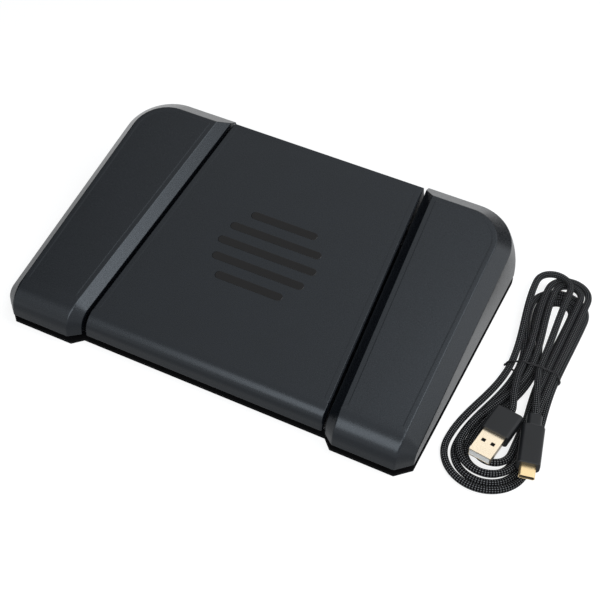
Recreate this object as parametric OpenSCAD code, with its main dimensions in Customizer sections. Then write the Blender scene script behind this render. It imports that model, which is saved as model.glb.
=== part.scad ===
// Three-pedal USB foot switch with its braided cable lying beside it in a hank.
// X runs across the pedals, Y runs from the user's side to the far side, Z is up.
// The origin is on the floor, under the middle of the pedal unit.

/* [Body] */
// Width across the three pedals
body_w = 241; // [220:1:270]
// Depth from the front edge to the far edge
body_d = 162; // [150:1:180]
// Slope of the pedal tops
slope_deg = 13.4; // [10:0.1:16]
// Height of the outer pedals' top plane at the front edge
front_top_z = 21.3; // [20:0.1:26]
// Height of the pedal skirts' lower edge above the floor
skirt_z = 6.1; // [5.8:0.1:7]
// Thickness of the moulded pedal walls
wall = 2.5; // [2:0.1:3.2]
// Radius of the bend at the outer pedals' front edge
bend_r = 14; // [12:0.5:15]
// How far the far walls' lower edge stands out behind their upper edge
far_foot_out = 14; // [10:0.5:18]

/* [Outer pedals] */
// Distance from the middle to an outer pedal's gap-side wall, at mid depth
gap_wall_x = 67; // [62:0.5:72]
// How much the gaps close up towards the far side, per millimetre of depth
gap_taper = 0.068; // [0.04:0.002:0.08]
// Width of the bevel along the outer side
side_bevel_w = 7.7; // [5:0.1:10]
// Drop of the bevel along the outer side and the far side
side_bevel_drop = 9.1; // [7:0.1:11]
// Width of the bevel along the gap
gap_bevel_w = 6; // [4:0.1:8]
// Drop of the bevel along the gap
gap_bevel_drop = 2.3; // [1.8:0.1:3.4]
// Width of the bevel along the far side
far_bevel_w = 12.5; // [9:0.1:15]
// Plan radius of the outer far corner
far_corner_r = 27; // [22:0.5:32]
// Plan radius of the outer far corner at the walls' lower edge
foot_corner_r = 12; // [8:0.5:16]
// Plan radius of the flat panel's outer far corner
panel_corner_r = 20; // [16:0.5:24]
// Depth of the cut corner at the outer front
side_chamfer = 7.9; // [6:0.1:9]
// Depth of the cut corner beside the gap
gap_chamfer = 5.1; // [4:0.1:6]
// Radius in which the side bevel's lower edge turns down at the front
side_turn_r = 6; // [5:0.5:7]
// Radius in which the gap bevel's lower edge turns down at the front
gap_turn_r = 9; // [7:0.5:10]

/* [Centre pedal] */
// Gap between neighbouring pedals
pedal_gap = 1.8; // [1.4:0.1:2.4]
// How much lower the centre pedal's top lies
centre_drop = 4.75; // [3.5:0.05:5.5]
// How far the centre pedal's front edge stands back
centre_setback = 5.6; // [4:0.1:7]
// Radius of the bend at the centre pedal's front edge
centre_bend_r = 9; // [7:0.5:11]
// How far the centre pedal's far edge stands in from the outer pedals'
centre_far_in = 4.4; // [3:0.1:6]
// Size of the centre pedal's broken edges
edge_break = 0.9; // [0.5:0.1:1.2]
// Half width of the tread mark
mark_r = 30; // [24:1:34]
// Width of one bar of the tread mark
mark_bar_w = 5; // [4:0.5:6]
// Distance from one bar of the tread mark to the next
mark_pitch = 11; // [9:0.5:13]
// Depth of the tread mark's pockets
mark_depth = 0.4; // [0.3:0.05:0.6]

/* [Base] */
// Thickness of the rubber pad
pad_t = 1.8; // [1.6:0.1:2]
// How far the pad's front edge stands back
pad_setback = 1.1; // [0.5:0.1:2]
// Thickness of the steel base plate
plate_t = 2; // [1.5:0.1:2.4]
// Thickness of the tray's floor
tray_t = 2.2; // [1.8:0.1:2.6]
// How far the tray stands in from the sides
tray_side_in = 6; // [5:0.1:8]
// How far the steel plate stands in from the far walls' lower edge
plate_far_in = 8; // [6:0.1:9]
// How far the tray stands in from the pedals' far upper edge
tray_far_in = 9.5; // [9:0.1:11]
// Diameter of the base screws
screw_d = 3; // [2.5:0.5:3]
// Diameter of the base screws' heads
screw_head_d = 6; // [5:0.5:6.5]

/* [Hinges] */
// Distance of the hinge line from the front edge
hinge_back = 15; // [14:0.5:18]
// Height of the hinge line
hinge_z = 11; // [10.8:0.1:11.6]
// Diameter of the hinge pins
pin_d = 4; // [3:0.1:4.2]
// Radial clearance of the pins in the pedals' knuckles
pin_play = 0.05; // [0.03:0.01:0.08]
// Thickness of each hinge lug and knuckle
lug_t = 6; // [5:0.5:7]
// Outer diameter of the lugs and knuckles
lug_d = 8.6; // [8:0.1:9]
// Side clearance between a lug and a knuckle
lug_gap = 1; // [0.6:0.1:1.4]
// Angle from rest to the pressed stop
press_deg = 1.4; // [1:0.1:1.5]

/* [Springs and stops] */
// Outer diameter of the return springs
spring_d = 10; // [9:0.5:11]
// Diameter of the spring wire
wire_d = 1.2; // [1:0.1:1.4]
// Number of curls in each spring
spring_turns = 6; // [5:1:8]
// Height of each spring at rest
spring_h = 20; // [18:0.5:22]
// Diameter of the rubber stop bumpers
bumper_d = 10; // [8:0.5:12]
// Height of the rubber stop bumpers
bumper_h = 4; // [3:0.1:5]
// Space left above a bumper when the pedal is down
stop_space = 0.3; // [0.3:0.1:0.6]

/* [Board and switches] */
// Depth of the circuit board
board_d = 30; // [28:1:32]
// Thickness of the circuit board
board_t = 1.2; // [1:0.1:1.6]
// Height of the posts under the board
board_post_h = 1; // [0.8:0.1:1.4]
// Side of a key switch housing
switch_w = 14; // [13:0.5:15]
// Height of a key switch housing
switch_h = 8.5; // [8:0.1:9]
// Side of a switch stem
stem_w = 7; // [6:0.1:8]
// Clearance around a stem in its housing
stem_play = 0.2; // [0.15:0.05:0.3]
// How far a stem stands above its housing
stem_out = 3.6; // [3.4:0.1:4]
// Gap between a pedal's pusher and its stem
pusher_gap = 0.2; // [0.2:0.05:0.3]
// Width of the USB-C socket
socket_w = 8.94; // [8.9:0.01:9]
// Height of the USB-C socket
socket_h = 3.26; // [3.2:0.01:3.3]

/* [Cable] */
// Diameter of the braided cable
cable_d = 3.8; // [3.4:0.1:3.8]
// Distance from one layer of the hank to the next
layer_step = 3.95; // [3.95:0.05:4.2]
// Width of the USB-A overmould
a_body_w = 15.5; // [14:0.5:16]
// Thickness of the USB-A overmould
a_body_t = 8; // [7:0.5:8]
// Length of the USB-A overmould
a_body_l = 18; // [16:0.5:22]
// Width of the USB-C overmould
c_body_w = 12; // [11:0.5:13]
// Thickness of the USB-C overmould
c_body_t = 7; // [6:0.5:7.5]
// Length of the USB-C overmould
c_body_l = 26; // [22:0.5:28]

/* [Hidden] */
$fn = 48;

plastic = "#33363b";
rubber = "#1a1a1c";
steel = "#b8bcc0";
gold = "#d9bd84";

half_w = body_w / 2;
half_d = body_d / 2;
rise = tan(slope_deg);
tall = 4 * front_top_z;

// Heights of the stacked base
plate_z = pad_t;
tray_z = plate_z + plate_t;
floor_z = tray_z + tray_t;
board_z = floor_z + board_post_h;
board_top = board_z + board_t;

// Hinge line and what lies behind it
hinge_y = hinge_back - half_d;
tray_far_y = half_d - tray_far_in;
port_wall_t = 2;
board_play = 0.2;
board_far_y = tray_far_y - port_wall_t - board_play;
board_near_y = board_far_y - board_d;
// Room from the board's edge to the switches, and from the board to the bumpers, springs and hooks before it
switch_edge = 1.3;
bumper_space = 4.3;
spring_space = 15;
keeper_space = 21;
switch_y = board_near_y + switch_edge + switch_w / 2;
bumper_y = board_near_y - bumper_space - bumper_d / 2;
spring_y = bumper_y - bumper_d / 2 - spring_space - spring_d / 2;
keeper_y = spring_y - spring_d / 2 - keeper_space;
pusher_z = board_top + switch_h + stem_out + pusher_gap;
function press_at(y) = (y - hinge_y) * tan(press_deg);

// Middle lines of the outer pedals and of what stands under each pedal
wing_x = (gap_wall_x + half_w) / 2;
lug_space = 0.75;
wing_lug = wing_x - gap_wall(hinge_y) - wall - lug_space - lug_t;
wing_pair = wing_lug + 1;
centre_pair = 32;
pair_xs = [[-wing_x - wing_pair, -wing_x + wing_pair], [-centre_pair, centre_pair],
    [wing_x - wing_pair, wing_x + wing_pair]];
pedal_xs = [-wing_x, 0, wing_x];

// Base screw places
screw_xs = [-half_w + 13, -gap_wall_x + 22, gap_wall_x - 22, half_w - 13];
screw_ys = [hinge_y + 24, bumper_y - 14];
boss_d = screw_d + 4.5;
boss_h = 4;

function top_z(y) = front_top_z + rise * (y + half_d);
function gap_wall(y) = gap_wall_x - gap_taper * y;
function centre_wall(y) = gap_wall(y) - pedal_gap;

// A bevel of width w and drop h, moved in by d: how far its upper edge and its lower edge move
function upper_shift(w, h, d) = d * (norm([w, h]) - w) / h;
function lower_shift(w, h, d) = d * (norm([w, h]) - h) / w;

// A pedal cover is a ring of columns. Each column runs down from the flat panel's edge, over the bevel or
// the front bend, and down the wall to its foot. A wall that stands out at its foot bows out on the way.
bend_steps = 6;
arc_steps = 10;
bow_height = 0.45;
bow_out = 0.6;
function wall_rows(low, foot) = [
    [low.x + (foot.x - low.x) * bow_out, low.y + (foot.y - low.y) * bow_out, low.z + (skirt_z - low.z) * bow_height],
    [foot.x, foot.y, skirt_z]];
function bevel_column(upper, lower, foot) = concat(
    [for (j = [0:bend_steps]) upper + (lower - upper) * j / bend_steps], wall_rows(lower, foot));
// The front bend, as y and z after a share of its turn: tangent to the sloped top, lowered by drop, and to the
// front face at y_front
function bend_start(y_front, r) = y_front + r - r * sin(slope_deg);
function bend_point(share, y_front, r, drop) =
    let (a = 90 + slope_deg + (90 - slope_deg) * share, cz = top_z(y_front + r) - drop - r / cos(slope_deg))
    [y_front + r + r * cos(a), cz + r * sin(a)];
function bend_column(x, y_front, r, drop) =
    let (rows = [for (j = [0:bend_steps]) let (b = bend_point(j / bend_steps, y_front, r, drop)) [x, b.x, b.y]])
    concat(rows, wall_rows(rows[bend_steps], [x, y_front]));

// A corner where a bevel turns down beside the front bend. The bevel's upper edge follows the bend, its lower edge
// follows a smaller bend in the wall, and the surface joins equal shares of the two turns. A column ends after the
// given share of the turn, across the bevel by over. Up and low give [y_front, radius, drop] of the two bends, and
// the two functions give x at y. Slip moves the column's start along the panel's edge.
function corner_column(share, over, up, low, up_x, low_x, slip) =
    let (rows = [for (j = [0:bend_steps])
        let (
            t = j / bend_steps,
            a = bend_point(t * share, up[0], up[1], up[2]),
            b = bend_point(t * share, low[0], low[1], low[2]),
            v = t * over
        )
        (1 - v) * [up_x(a.x), a.x, a.y] + v * [low_x(b.x), b.x, b.y] + (1 - t) * slip * [0, 1, rise]])
    concat(rows, wall_rows(rows[bend_steps], rows[bend_steps]));
// Each corner's columns: share of the turn, and slip
turn_shares = [[1, 0.25], [0.67, 0.5], [0.33, 0.75], [0, 1]];

// Columns of the right-hand outer pedal, moved in by d
function wing_columns(d) =
    let (
        drop = d / cos(slope_deg),
        side_drop = side_bevel_drop + lower_shift(side_bevel_w, side_bevel_drop, d),
        gap_drop = gap_bevel_drop + lower_shift(gap_bevel_w, gap_bevel_drop, d),
        side_in = upper_shift(side_bevel_w, side_bevel_drop, d),
        gap_in = upper_shift(gap_bevel_w, gap_bevel_drop, d),
        front = d - half_d,
        far = half_d - d,
        panel_x = half_w - side_bevel_w - side_in,
        panel_y = half_d - far_bevel_w - side_in,
        meet_y = panel_y + (far - panel_y) * (gap_drop - drop) / (side_drop - drop),
        arc_r = far_corner_r - d,
        arc_c = [half_w - far_corner_r, half_d - far_corner_r],
        foot_r = foot_corner_r - d,
        foot_c = [half_w - foot_corner_r, half_d + far_foot_out - foot_corner_r],
        flat_r = panel_corner_r,
        flat_c = [panel_x - flat_r, panel_y - flat_r],
        up = [front, bend_r - d, drop],
        side_low = [-half_d + side_chamfer + d / 2, side_turn_r - d / 2, side_drop],
        gap_low = [-half_d + gap_chamfer + d / 2, gap_turn_r - d / 2, gap_drop],
        panel_side = function(y) panel_x,
        wall_side = function(y) half_w - d,
        panel_gap = function(y) gap_wall(y) + gap_bevel_w + gap_in,
        wall_gap = function(y) gap_wall(y) + d
    )
    concat(
        [corner_column(1, 0, up, gap_low, panel_gap, wall_gap, 0),
         corner_column(1, 0, up, side_low, panel_side, wall_side, 0)],
        [for (s = turn_shares) corner_column(s[0], 1, up, side_low, panel_side, wall_side, s[1])],
        [for (k = [0:arc_steps])
            let (
                a = 90 * k / arc_steps,
                u = flat_c + flat_r * [cos(a), sin(a)],
                v = arc_c + arc_r * [cos(a), sin(a)]
            )
            bevel_column([u.x, u.y, top_z(u.y) - drop], [v.x, v.y, top_z(v.y) - side_drop],
                foot_c + foot_r * [cos(a), sin(a)])],
        [bevel_column([panel_gap(panel_y) + 1, panel_y, top_z(panel_y) - drop],
             [wall_gap(far), far, top_z(far) - side_drop], [wall_gap(far + far_foot_out), far + far_foot_out]),
         bevel_column([panel_gap(panel_y), panel_y, top_z(panel_y) - drop],
             [wall_gap(meet_y), meet_y, top_z(meet_y) - gap_drop], [wall_gap(meet_y), meet_y])],
        [for (k = [3:-1:0]) let (s = turn_shares[k])
            corner_column(s[0], 1, up, gap_low, panel_gap, wall_gap, s[1])]);

// Columns of the centre pedal, moved in by d
function centre_columns(d) =
    let (
        drop = centre_drop + d / cos(slope_deg),
        r = centre_bend_r - d,
        front = -half_d + centre_setback + d,
        far = half_d - centre_far_in - d,
        start = bend_start(front, r),
        e = edge_break,
        flat_w = function(y) centre_wall(y) - d - e,
        front_y = front + e
    )
    [for (s = [[-1, 0], [1, 0], [1, 1], [1, 2], [-1, 2], [-1, 1]])
        s[1] == 0 ? bend_column(s[0] * flat_w(front), front, r, drop)
        : s[1] == 1 ? bevel_column([s[0] * flat_w(start + 1), start + 1, top_z(start + 1) - drop],
            [s[0] * (centre_wall(front_y) - d), front_y, top_z(front_y + r) - drop - r],
            [s[0] * (centre_wall(front_y) - d), front_y])
        : bevel_column([s[0] * flat_w(far - e), far - e, top_z(far - e) - drop],
            [s[0] * (centre_wall(far) - d), far, top_z(far) - drop - e],
            [s[0] * (centre_wall(far + far_foot_out) - d), far + far_foot_out])];

// A closed shell between two rings of columns, the outer and the inner one
module shell(outer, inner) {
    n = len(outer);
    k = len(outer[0]);
    points = [for (ring = [outer, inner]) for (c = ring) each c];
    at = function(i, j) (i % n) * k + j;
    in = function(i, j) n * k + (i % n) * k + j;
    faces = concat(
        [[for (i = [n - 1:-1:0]) at(i, 0)], [for (i = [0:n - 1]) in(i, 0)]],
        [for (i = [0:n - 1]) for (j = [0:k - 2]) each [
            [at(i, j), at(i + 1, j), at(i + 1, j + 1)], [at(i, j), at(i + 1, j + 1), at(i, j + 1)],
            [in(i, j), in(i + 1, j + 1), in(i + 1, j)], [in(i, j), in(i, j + 1), in(i + 1, j + 1)]]],
        [for (i = [0:n - 1]) each [
            [at(i, k - 1), at(i + 1, k - 1), in(i + 1, k - 1)],
            [at(i, k - 1), in(i + 1, k - 1), in(i, k - 1)]]]);
    polyhedron(points, faces, convexity = 6);
}

// Everything below the middle of a pedal's roof
module under_roof(drop) {
    translate([0, -half_d, front_top_z - drop - wall / 2])
        rotate([slope_deg, 0, 0])
            translate([-body_w, -body_d, -body_d]) cube([2 * body_w, 3 * body_d, body_d]);
}

module x_cylinder(x, len, d) {
    translate([x, hinge_y, hinge_z]) rotate([0, 90, 0]) cylinder(h = len, d = d);
}

// Inner ends of the two hinge lugs under a pedal, as distances from its middle line
centre_lug = centre_wall(hinge_y) - 2 * wall - 2 * lug_t;
function lug_at(p) = p == 1 ? centre_lug : wing_lug;

// What stands inside a pedal cover: knuckles, spring pins, stop posts, switch pusher and hook
module pedal_inside(p) {
    x = pedal_xs[p];
    spring_top = floor_z + spring_h;
    pin_r = (spring_d - 2 * wire_d) / 2 - 0.6;
    for (s = [-1, 1]) {
        knuckle_x = x + s * (lug_at(p) - lug_gap - lug_t / 2) - lug_t / 2;
        x_cylinder(knuckle_x, lug_t, lug_d);
        translate([knuckle_x, hinge_y - lug_d / 2 + 0.6, hinge_z]) cube([lug_t, lug_d - 1.2, tall]);
    }
    for (px = pair_xs[p]) {
        translate([px, spring_y, spring_top]) cylinder(h = tall, d = spring_d + 2);
        translate([px, spring_y, spring_top - 6]) cylinder(h = 6.5, r = pin_r);
        translate([px, bumper_y, floor_z + bumper_h + press_at(bumper_y) + stop_space])
            cylinder(h = tall, d = bumper_d - 2);
    }
    translate([x, switch_y, pusher_z]) cylinder(h = tall, d = stem_w + 1);
    // Hook: its toe lies under the tray's keeper and stops the pedal at rest
    translate([x - 5, keeper_y, toe_z]) cube([10, 3, tall]);
    translate([x - 5, keeper_y - 5, toe_z]) cube([10, 8, toe_h]);
}
toe_h = 2.5;
toe_z = floor_z + 3;
toe_play = 0.3;

// The pin's running bores through a pedal's knuckles
module knuckle_bores(p) {
    x_cylinder(pedal_xs[p] - lug_at(p), 2 * lug_at(p), pin_d + 2 * pin_play);
}

// The walls beside the gaps are cut short at this height, from the hinge to just past the bottom plate
plate_far_y = half_d + far_foot_out - plate_far_in;
low_wall = pusher_z - 6;
low_wall_y = hinge_y - 2;
low_wall_far_y = plate_far_y + 0.8;

module wing() {
    p = 2;
    difference() {
        union() {
            shell(wing_columns(0), wing_columns(wall));
            intersection() {
                pedal_inside(p);
                under_roof(0);
            }
        }
        knuckle_bores(p);
        // Behind the hinge the gap-side wall stops well above the board and the tray
        translate([gap_wall_x - 12, low_wall_y, 0])
            cube([gap_wall(low_wall_y) + wall + 0.3 - gap_wall_x + 12, low_wall_far_y - low_wall_y, low_wall]);
    }
}

module pedal_left() {
    color(plastic) mirror([1, 0, 0]) wing();
}

module pedal_right() {
    color(plastic) wing();
}

port_w = 20;
port_top = 19;
module pedal_centre() {
    p = 1;
    far = half_d - centre_far_in;
    color(plastic) difference() {
        union() {
            shell(centre_columns(0), centre_columns(wall));
            intersection() {
                pedal_inside(p);
                under_roof(centre_drop);
            }
        }
        knuckle_bores(p);
        for (s = [-1, 1]) translate([s * (gap_wall_x - 2) - 9, low_wall_y, 0])
            cube([18, low_wall_far_y - low_wall_y, low_wall]);
        // Notch in the far wall for the plug
        translate([-port_w / 2, far - 2 * wall, 0]) cube([port_w, 3 * wall + far_foot_out, port_top]);
        mark_bars(mark_depth, mark_bar_w, 1);
    }
}

// Bars in an oval outline, sunk from the centre pedal's top to the given depth and reaching up by rise_up
mark_count = 5;
module mark_bars(depth, bar_w, rise_up) {
    translate([0, 0, top_z(0) - centre_drop]) rotate([slope_deg, 0, 0]) translate([0, 0, -depth])
        for (k = [0:mark_count - 1]) {
            y = (k - (mark_count - 1) / 2) * mark_pitch;
            l = sqrt(mark_r * mark_r - y * y) - mark_bar_w / 2;
            linear_extrude(depth + rise_up) translate([0, y]) stadium(2 * l + bar_w, bar_w);
        }
}

module tread_mark() {
    color("#15161a") difference() {
        mark_bars(mark_depth, mark_bar_w - 0.04, 0);
        // The bars' tops lie a little below the pedal's top
        translate([0, 0, top_z(0) - centre_drop]) rotate([slope_deg, 0, 0])
            translate([-body_w, -body_d, -0.05]) cube([2 * body_w, 2 * body_d, 1]);
    }
}

// A flat shape with round ends, w long and h wide
module stadium(w, h) {
    square([w - h, h], center = true);
    for (s = [-1, 1]) translate([s * (w - h) / 2, 0]) circle(d = h);
}

// Plan of the whole unit at its foot, with cut front corners and round far corners
module plan() {
    far = half_d + far_foot_out;
    r = foot_corner_r;
    front = -half_d + pad_setback;
    mid_front = front + centre_setback;
    gap_x = gap_wall(-half_d + gap_chamfer);
    inner_x = gap_x + gap_bevel_w - 0.8;
    right = [[gap_x, mid_front], [inner_x, front], [half_w - side_bevel_w, front],
        [half_w, -half_d + side_chamfer + pad_setback], [half_w, far - r]];
    polygon(concat(right, [for (i = [len(right) - 1:-1:0]) [-right[i].x, right[i].y]]));
    translate([r - half_w, 0]) square([body_w - 2 * r, far]);
    for (s = [-1, 1]) translate([s * (half_w - r), far - r]) circle(r);
}

// Plan of the tray and the plate, moved in by d, with its far edge at far
tray_front_y = hinge_y - lug_d / 2;
module tray_plan(d, far) {
    w = half_w - tray_side_in - d;
    r = far_corner_r - tray_side_in - d;
    translate([-w, tray_front_y + d]) square([2 * w, far - r - tray_front_y - d]);
    translate([r - w, 0]) square([2 * (w - r), far]);
    for (s = [-1, 1]) translate([s * (w - r), far - r]) circle(r);
}

module screw_places() {
    for (x = screw_xs) for (y = screw_ys) translate([x, y, 0]) children();
}

module rubber_pad() {
    color(rubber) difference() {
        linear_extrude(pad_t) plan();
        screw_places() translate([0, 0, -1]) cylinder(h = pad_t + 2, d = screw_head_d + 1);
    }
}

module base_plate() {
    color(steel) difference() {
        translate([0, 0, plate_z]) linear_extrude(plate_t) tray_plan(0.5, plate_far_y);
        screw_places() cylinder(h = tray_z + 1, d = screw_d + 0.4);
    }
}

module base_screws() {
    head_t = pad_t - 0.3;
    color("#3a3b3e") screw_places() {
        difference() {
            translate([0, 0, plate_z - head_t]) cylinder(h = head_t, d = screw_head_d);
            translate([0, 0, plate_z - head_t - 0.01]) cylinder(h = 0.8, d = screw_d - 0.6, $fn = 6);
        }
        translate([0, 0, plate_z - 0.1]) cylinder(h = plate_t + tray_t + boss_h - 0.4, d = screw_d);
    }
}

// A hinge lug with its middle at x
module lug(x) {
    translate([x - lug_t / 2, tray_front_y, floor_z - 0.5]) cube([lug_t, lug_d, hinge_z - floor_z + 0.5]);
    x_cylinder(x - lug_t / 2, lug_t, lug_d);
}

// A keeper that the pedal's hook reaches under
module keeper(x) {
    over_z = toe_z + toe_h + toe_play;
    translate([x - 6, keeper_y - 11, floor_z - 0.5]) cube([12, 3, over_z - floor_z + 3]);
    translate([x - 6, keeper_y - 11, over_z]) cube([12, 9, 2.5]);
}

socket_z = board_top + socket_h / 2 + 0.05;
module base_tray() {
    color("#26282b") difference() {
        union() {
            translate([0, 0, tray_z]) linear_extrude(tray_t) tray_plan(0, tray_far_y);
            for (p = [0:2]) {
                for (s = [-1, 1]) lug(pedal_xs[p] + s * (lug_at(p) + lug_t / 2));
                keeper(pedal_xs[p]);
                for (px = pair_xs[p]) translate([px, spring_y, floor_z - 0.5])
                    cylinder(h = 5, r = spring_d / 2 - wire_d - 0.6);
            }
            screw_places() translate([0, 0, tray_z]) cylinder(h = tray_t + boss_h, d = boss_d);
            board_places() translate([0, 0, floor_z - 0.5]) cylinder(h = board_post_h + 0.5, d = 6);
            translate([-port_w / 2, tray_far_y - port_wall_t, floor_z - 0.5])
                cube([port_w, port_wall_t, socket_z + socket_h - floor_z + 1.5]);
        }
        for (p = [0:2]) {
            reach = lug_at(p) + lug_t + 1;
            x_cylinder(pedal_xs[p] - reach, 2 * reach, pin_d);
        }
        screw_places() translate([0, 0, -1]) cylinder(h = tray_z + tray_t + boss_h - 0.4 + 1, d = screw_d);
        board_places() translate([0, 0, tray_z + 0.6]) cylinder(h = tall, d = board_screw_d);
        translate([0, tray_far_y + 1, socket_z]) rotate([90, 0, 0])
            linear_extrude(port_wall_t + 2) stadium(socket_w + 0.4, socket_h + 0.4);
    }
}

// A hinge pin that ends level with the outer faces of its two lugs
module hinge_pin(p) {
    reach = lug_at(p) + lug_t;
    color(steel) x_cylinder(pedal_xs[p] - reach, 2 * reach, pin_d);
}

module hinge_pin_left() { hinge_pin(0); }
module hinge_pin_centre() { hinge_pin(1); }
module hinge_pin_right() { hinge_pin(2); }

// A tube of triangles around a path that never stands upright
module tube(path, r, sides) {
    n = len(path);
    ways = [for (i = [0:n - 1]) let (v = path[min(i + 1, n - 1)] - path[max(i - 1, 0)]) v / norm(v)];
    points = [for (i = [0:n - 1])
        let (side = cross(ways[i], [0, 0, 1]), s = side / norm(side), u = cross(s, ways[i]))
        for (k = [0:sides - 1]) path[i] + r * (cos(360 * k / sides) * s + sin(360 * k / sides) * u)];
    faces = concat(
        [for (k = [1:sides - 2]) each [[0, k, k + 1],
            [(n - 1) * sides, (n - 1) * sides + k + 1, (n - 1) * sides + k]]],
        [for (i = [0:n - 2]) for (k = [0:sides - 1])
            let (a = i * sides + k, b = i * sides + (k + 1) % sides)
            each [[a, a + sides, b + sides], [a, b + sides, b]]]);
    polyhedron(points, faces, convexity = 10);
}

spring_rings = 8;
module spring(x) {
    r = (spring_d - wire_d) / 2;
    low = floor_z + wire_d / 2 + 0.02;
    climb = spring_h - wire_d - 0.04;
    path = [for (i = [0:spring_turns * spring_rings])
        let (a = 360 * i / spring_rings)
        [x + r * cos(a), spring_y + r * sin(a), low + climb * i / (spring_turns * spring_rings)]];
    tube(path, wire_d / 2, 6);
}

module springs(p) {
    color(steel) for (x = pair_xs[p]) spring(x);
}

module springs_left() { springs(0); }
module springs_centre() { springs(1); }
module springs_right() { springs(2); }

module stop_bumpers() {
    color(rubber) for (pair = pair_xs) for (x = pair) translate([x, bumper_y, floor_z])
        cylinder(h = bumper_h, d = bumper_d);
}

board_half_w = wing_x + switch_w / 2 + 4;
board_screw_d = 2;
// Board screws: two at the near edge under the centre pedal and two at the far corners
board_near_x = 30;
board_screw_edge = 4.5;
module board_places() {
    for (s = [-1, 1]) {
        translate([s * board_near_x, board_near_y + board_screw_edge, 0]) children();
        translate([s * (board_half_w - board_screw_edge), board_far_y - board_screw_edge, 0]) children();
    }
}

module circuit_board() {
    color("#1f5a38") difference() {
        translate([-board_half_w, board_near_y, board_z]) cube([2 * board_half_w, board_d, board_t]);
        board_places() cylinder(h = board_top + 1, d = board_screw_d + 0.4);
    }
}

module board_screws() {
    color(steel) board_places() {
        translate([0, 0, board_top]) cylinder(h = 1.4, d = 2.2 * board_screw_d);
        translate([0, 0, tray_z + 0.7]) cylinder(h = board_top - tray_z - 0.6, d = board_screw_d);
    }
}

chip_w = 7;
module controller_chip() {
    color("#1c1d20") difference() {
        translate([-26, switch_y - chip_w / 2, board_top]) cube([chip_w, chip_w, 1]);
        translate([-25, switch_y - chip_w / 2 + 1, board_top + 0.8]) cylinder(h = 1, d = 0.8);
    }
}

// Crystal can, regulator and a row of chip capacitors
module board_parts() {
    color("#8f8676") {
        translate([22, switch_y, board_top]) linear_extrude(2.5) stadium(10, 4.2);
        translate([20, switch_y + 9, board_top]) cube([6, 3.5, 1.6]);
        for (k = [0:5]) translate([-40 + 3 * k, switch_y + 10, board_top]) cube([1.2, 2, 0.9]);
    }
}

socket_l = 7.3;
socket_wall = 0.3;
module usb_socket() {
    color(steel) translate([0, tray_far_y, socket_z]) rotate([90, 0, 0]) difference() {
        linear_extrude(socket_l) stadium(socket_w, socket_h);
        translate([0, 0, -1]) linear_extrude(socket_l + 1 - 0.6)
            stadium(socket_w - 2 * socket_wall, socket_h - 2 * socket_wall);
    }
}

tongue_t = 0.7;
module usb_socket_tongue() {
    color(rubber) translate([-socket_w / 2 + 1.1, tray_far_y - socket_l + 0.6, socket_z - tongue_t / 2])
        cube([socket_w - 2.2, socket_l - 1.6, tongue_t]);
}

module switch_housing(p) {
    hole = stem_w + 2 * stem_play;
    color("#2b2d30") translate([pedal_xs[p], switch_y, board_top]) difference() {
        union() {
            translate([-switch_w / 2, -switch_w / 2, 0]) cube([switch_w, switch_w, 0.6 * switch_h]);
            translate([-switch_w / 2 + 1, -switch_w / 2 + 1, 0]) cube([switch_w - 2, switch_w - 2, switch_h]);
        }
        translate([-hole / 2, -hole / 2, 1]) cube([hole, hole, switch_h]);
    }
}

module switch_housing_left() { switch_housing(0); }
module switch_housing_centre() { switch_housing(1); }
module switch_housing_right() { switch_housing(2); }

module switch_stem(p) {
    guide_h = switch_h - 1 - press_at(switch_y) - 0.5;
    color("#7d2f34") translate([pedal_xs[p], switch_y, board_top + switch_h]) {
        translate([-stem_w / 2, -stem_w / 2, -guide_h]) cube([stem_w, stem_w, guide_h]);
        cylinder(h = stem_out, d = stem_w - 1.5);
    }
}

module switch_stem_left() { switch_stem(0); }
module switch_stem_centre() { switch_stem(1); }
module switch_stem_right() { switch_stem(2); }

// The hank lies beside the right pedal. Along it runs p, from the near lobes to the far lobes, and across it
// runs q. The cable goes up on the right, round a far lobe, down on the left and round a near lobe.
hank_x = half_w + 34;
hank_y = 18;
cable_z = cable_d / 2 + 0.1;
tie_t = 0.8;
tie_w = 1.2;
waist_lift = tie_t + 0.05;
// Each crossing of the waist: q in cable widths, and the layer
crossings = [[0.58, 1.3], [-3.47, 0.4], [3.26, 0], [-2.24, 0], [2.18, 0], [-1.16, 0], [1.11, 0], [-0.05, 0],
    [1.66, 1], [-0.58, 1], [2.74, 1], [-1.76, 1.25]];
// Each lobe between two crossings, far and near in turn: q of its middle and radius in cable widths, the length
// of the straight runs, and the layer
lobes = [[-2.68, 2.63, 65, 2], [-1.12, 5.67, 65, 0], [-0.58, 4.11, 54, 0], [-0.97, 4.45, 65, 0],
    [-0.58, 3.05, 54, 0], [-0.87, 3.26, 63.5, 0], [-0.58, 2, 54, 0], [-0.63, 2.53, 61.5, 1], [-0.24, 2, 66, 1],
    [-1.03, 3.97, 64, 1], [-0.24, 3.11, 66, 1]];
lobe_count = len(lobes);

function ease(a, b, t) = a + (b - a) * (1 - cos(180 * min(max(t, 0), 1))) / 2;

// The cable after t half turns: a straight run to the lobe, a half circle, and a straight run back to the waist
arc_from = 0.25;
function hank_at(t) =
    let (
        k = min(floor(t), lobe_count - 1),
        h = t - k,
        way = k % 2 == 0 ? 1 : -1,
        lobe = lobes[k],
        middle = lobe[0] * cable_d,
        r = lobe[1] * cable_d,
        run = lobe[2],
        from = h < 0.5 ? crossings[k] : crossings[k + 1],
        side = h < 0.5 ? way : -way,
        arc = (h - arc_from) / (1 - 2 * arc_from),
        on_arc = arc >= 0 && arc <= 1,
        along = min(h, 1 - h) / arc_from,
        p = way * (on_arc ? run + r * sin(180 * arc) : run * along),
        q = on_arc ? middle + way * r * cos(180 * arc) : ease(from[0] * cable_d, middle + side * r, along),
        level = on_arc ? lobe[3] : ease(from[1], lobe[3], along)
    )
    [hank_x + q, hank_y + p, cable_z + level * layer_step + waist_lift * ease(1, 0, abs(p) / 30)];

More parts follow.
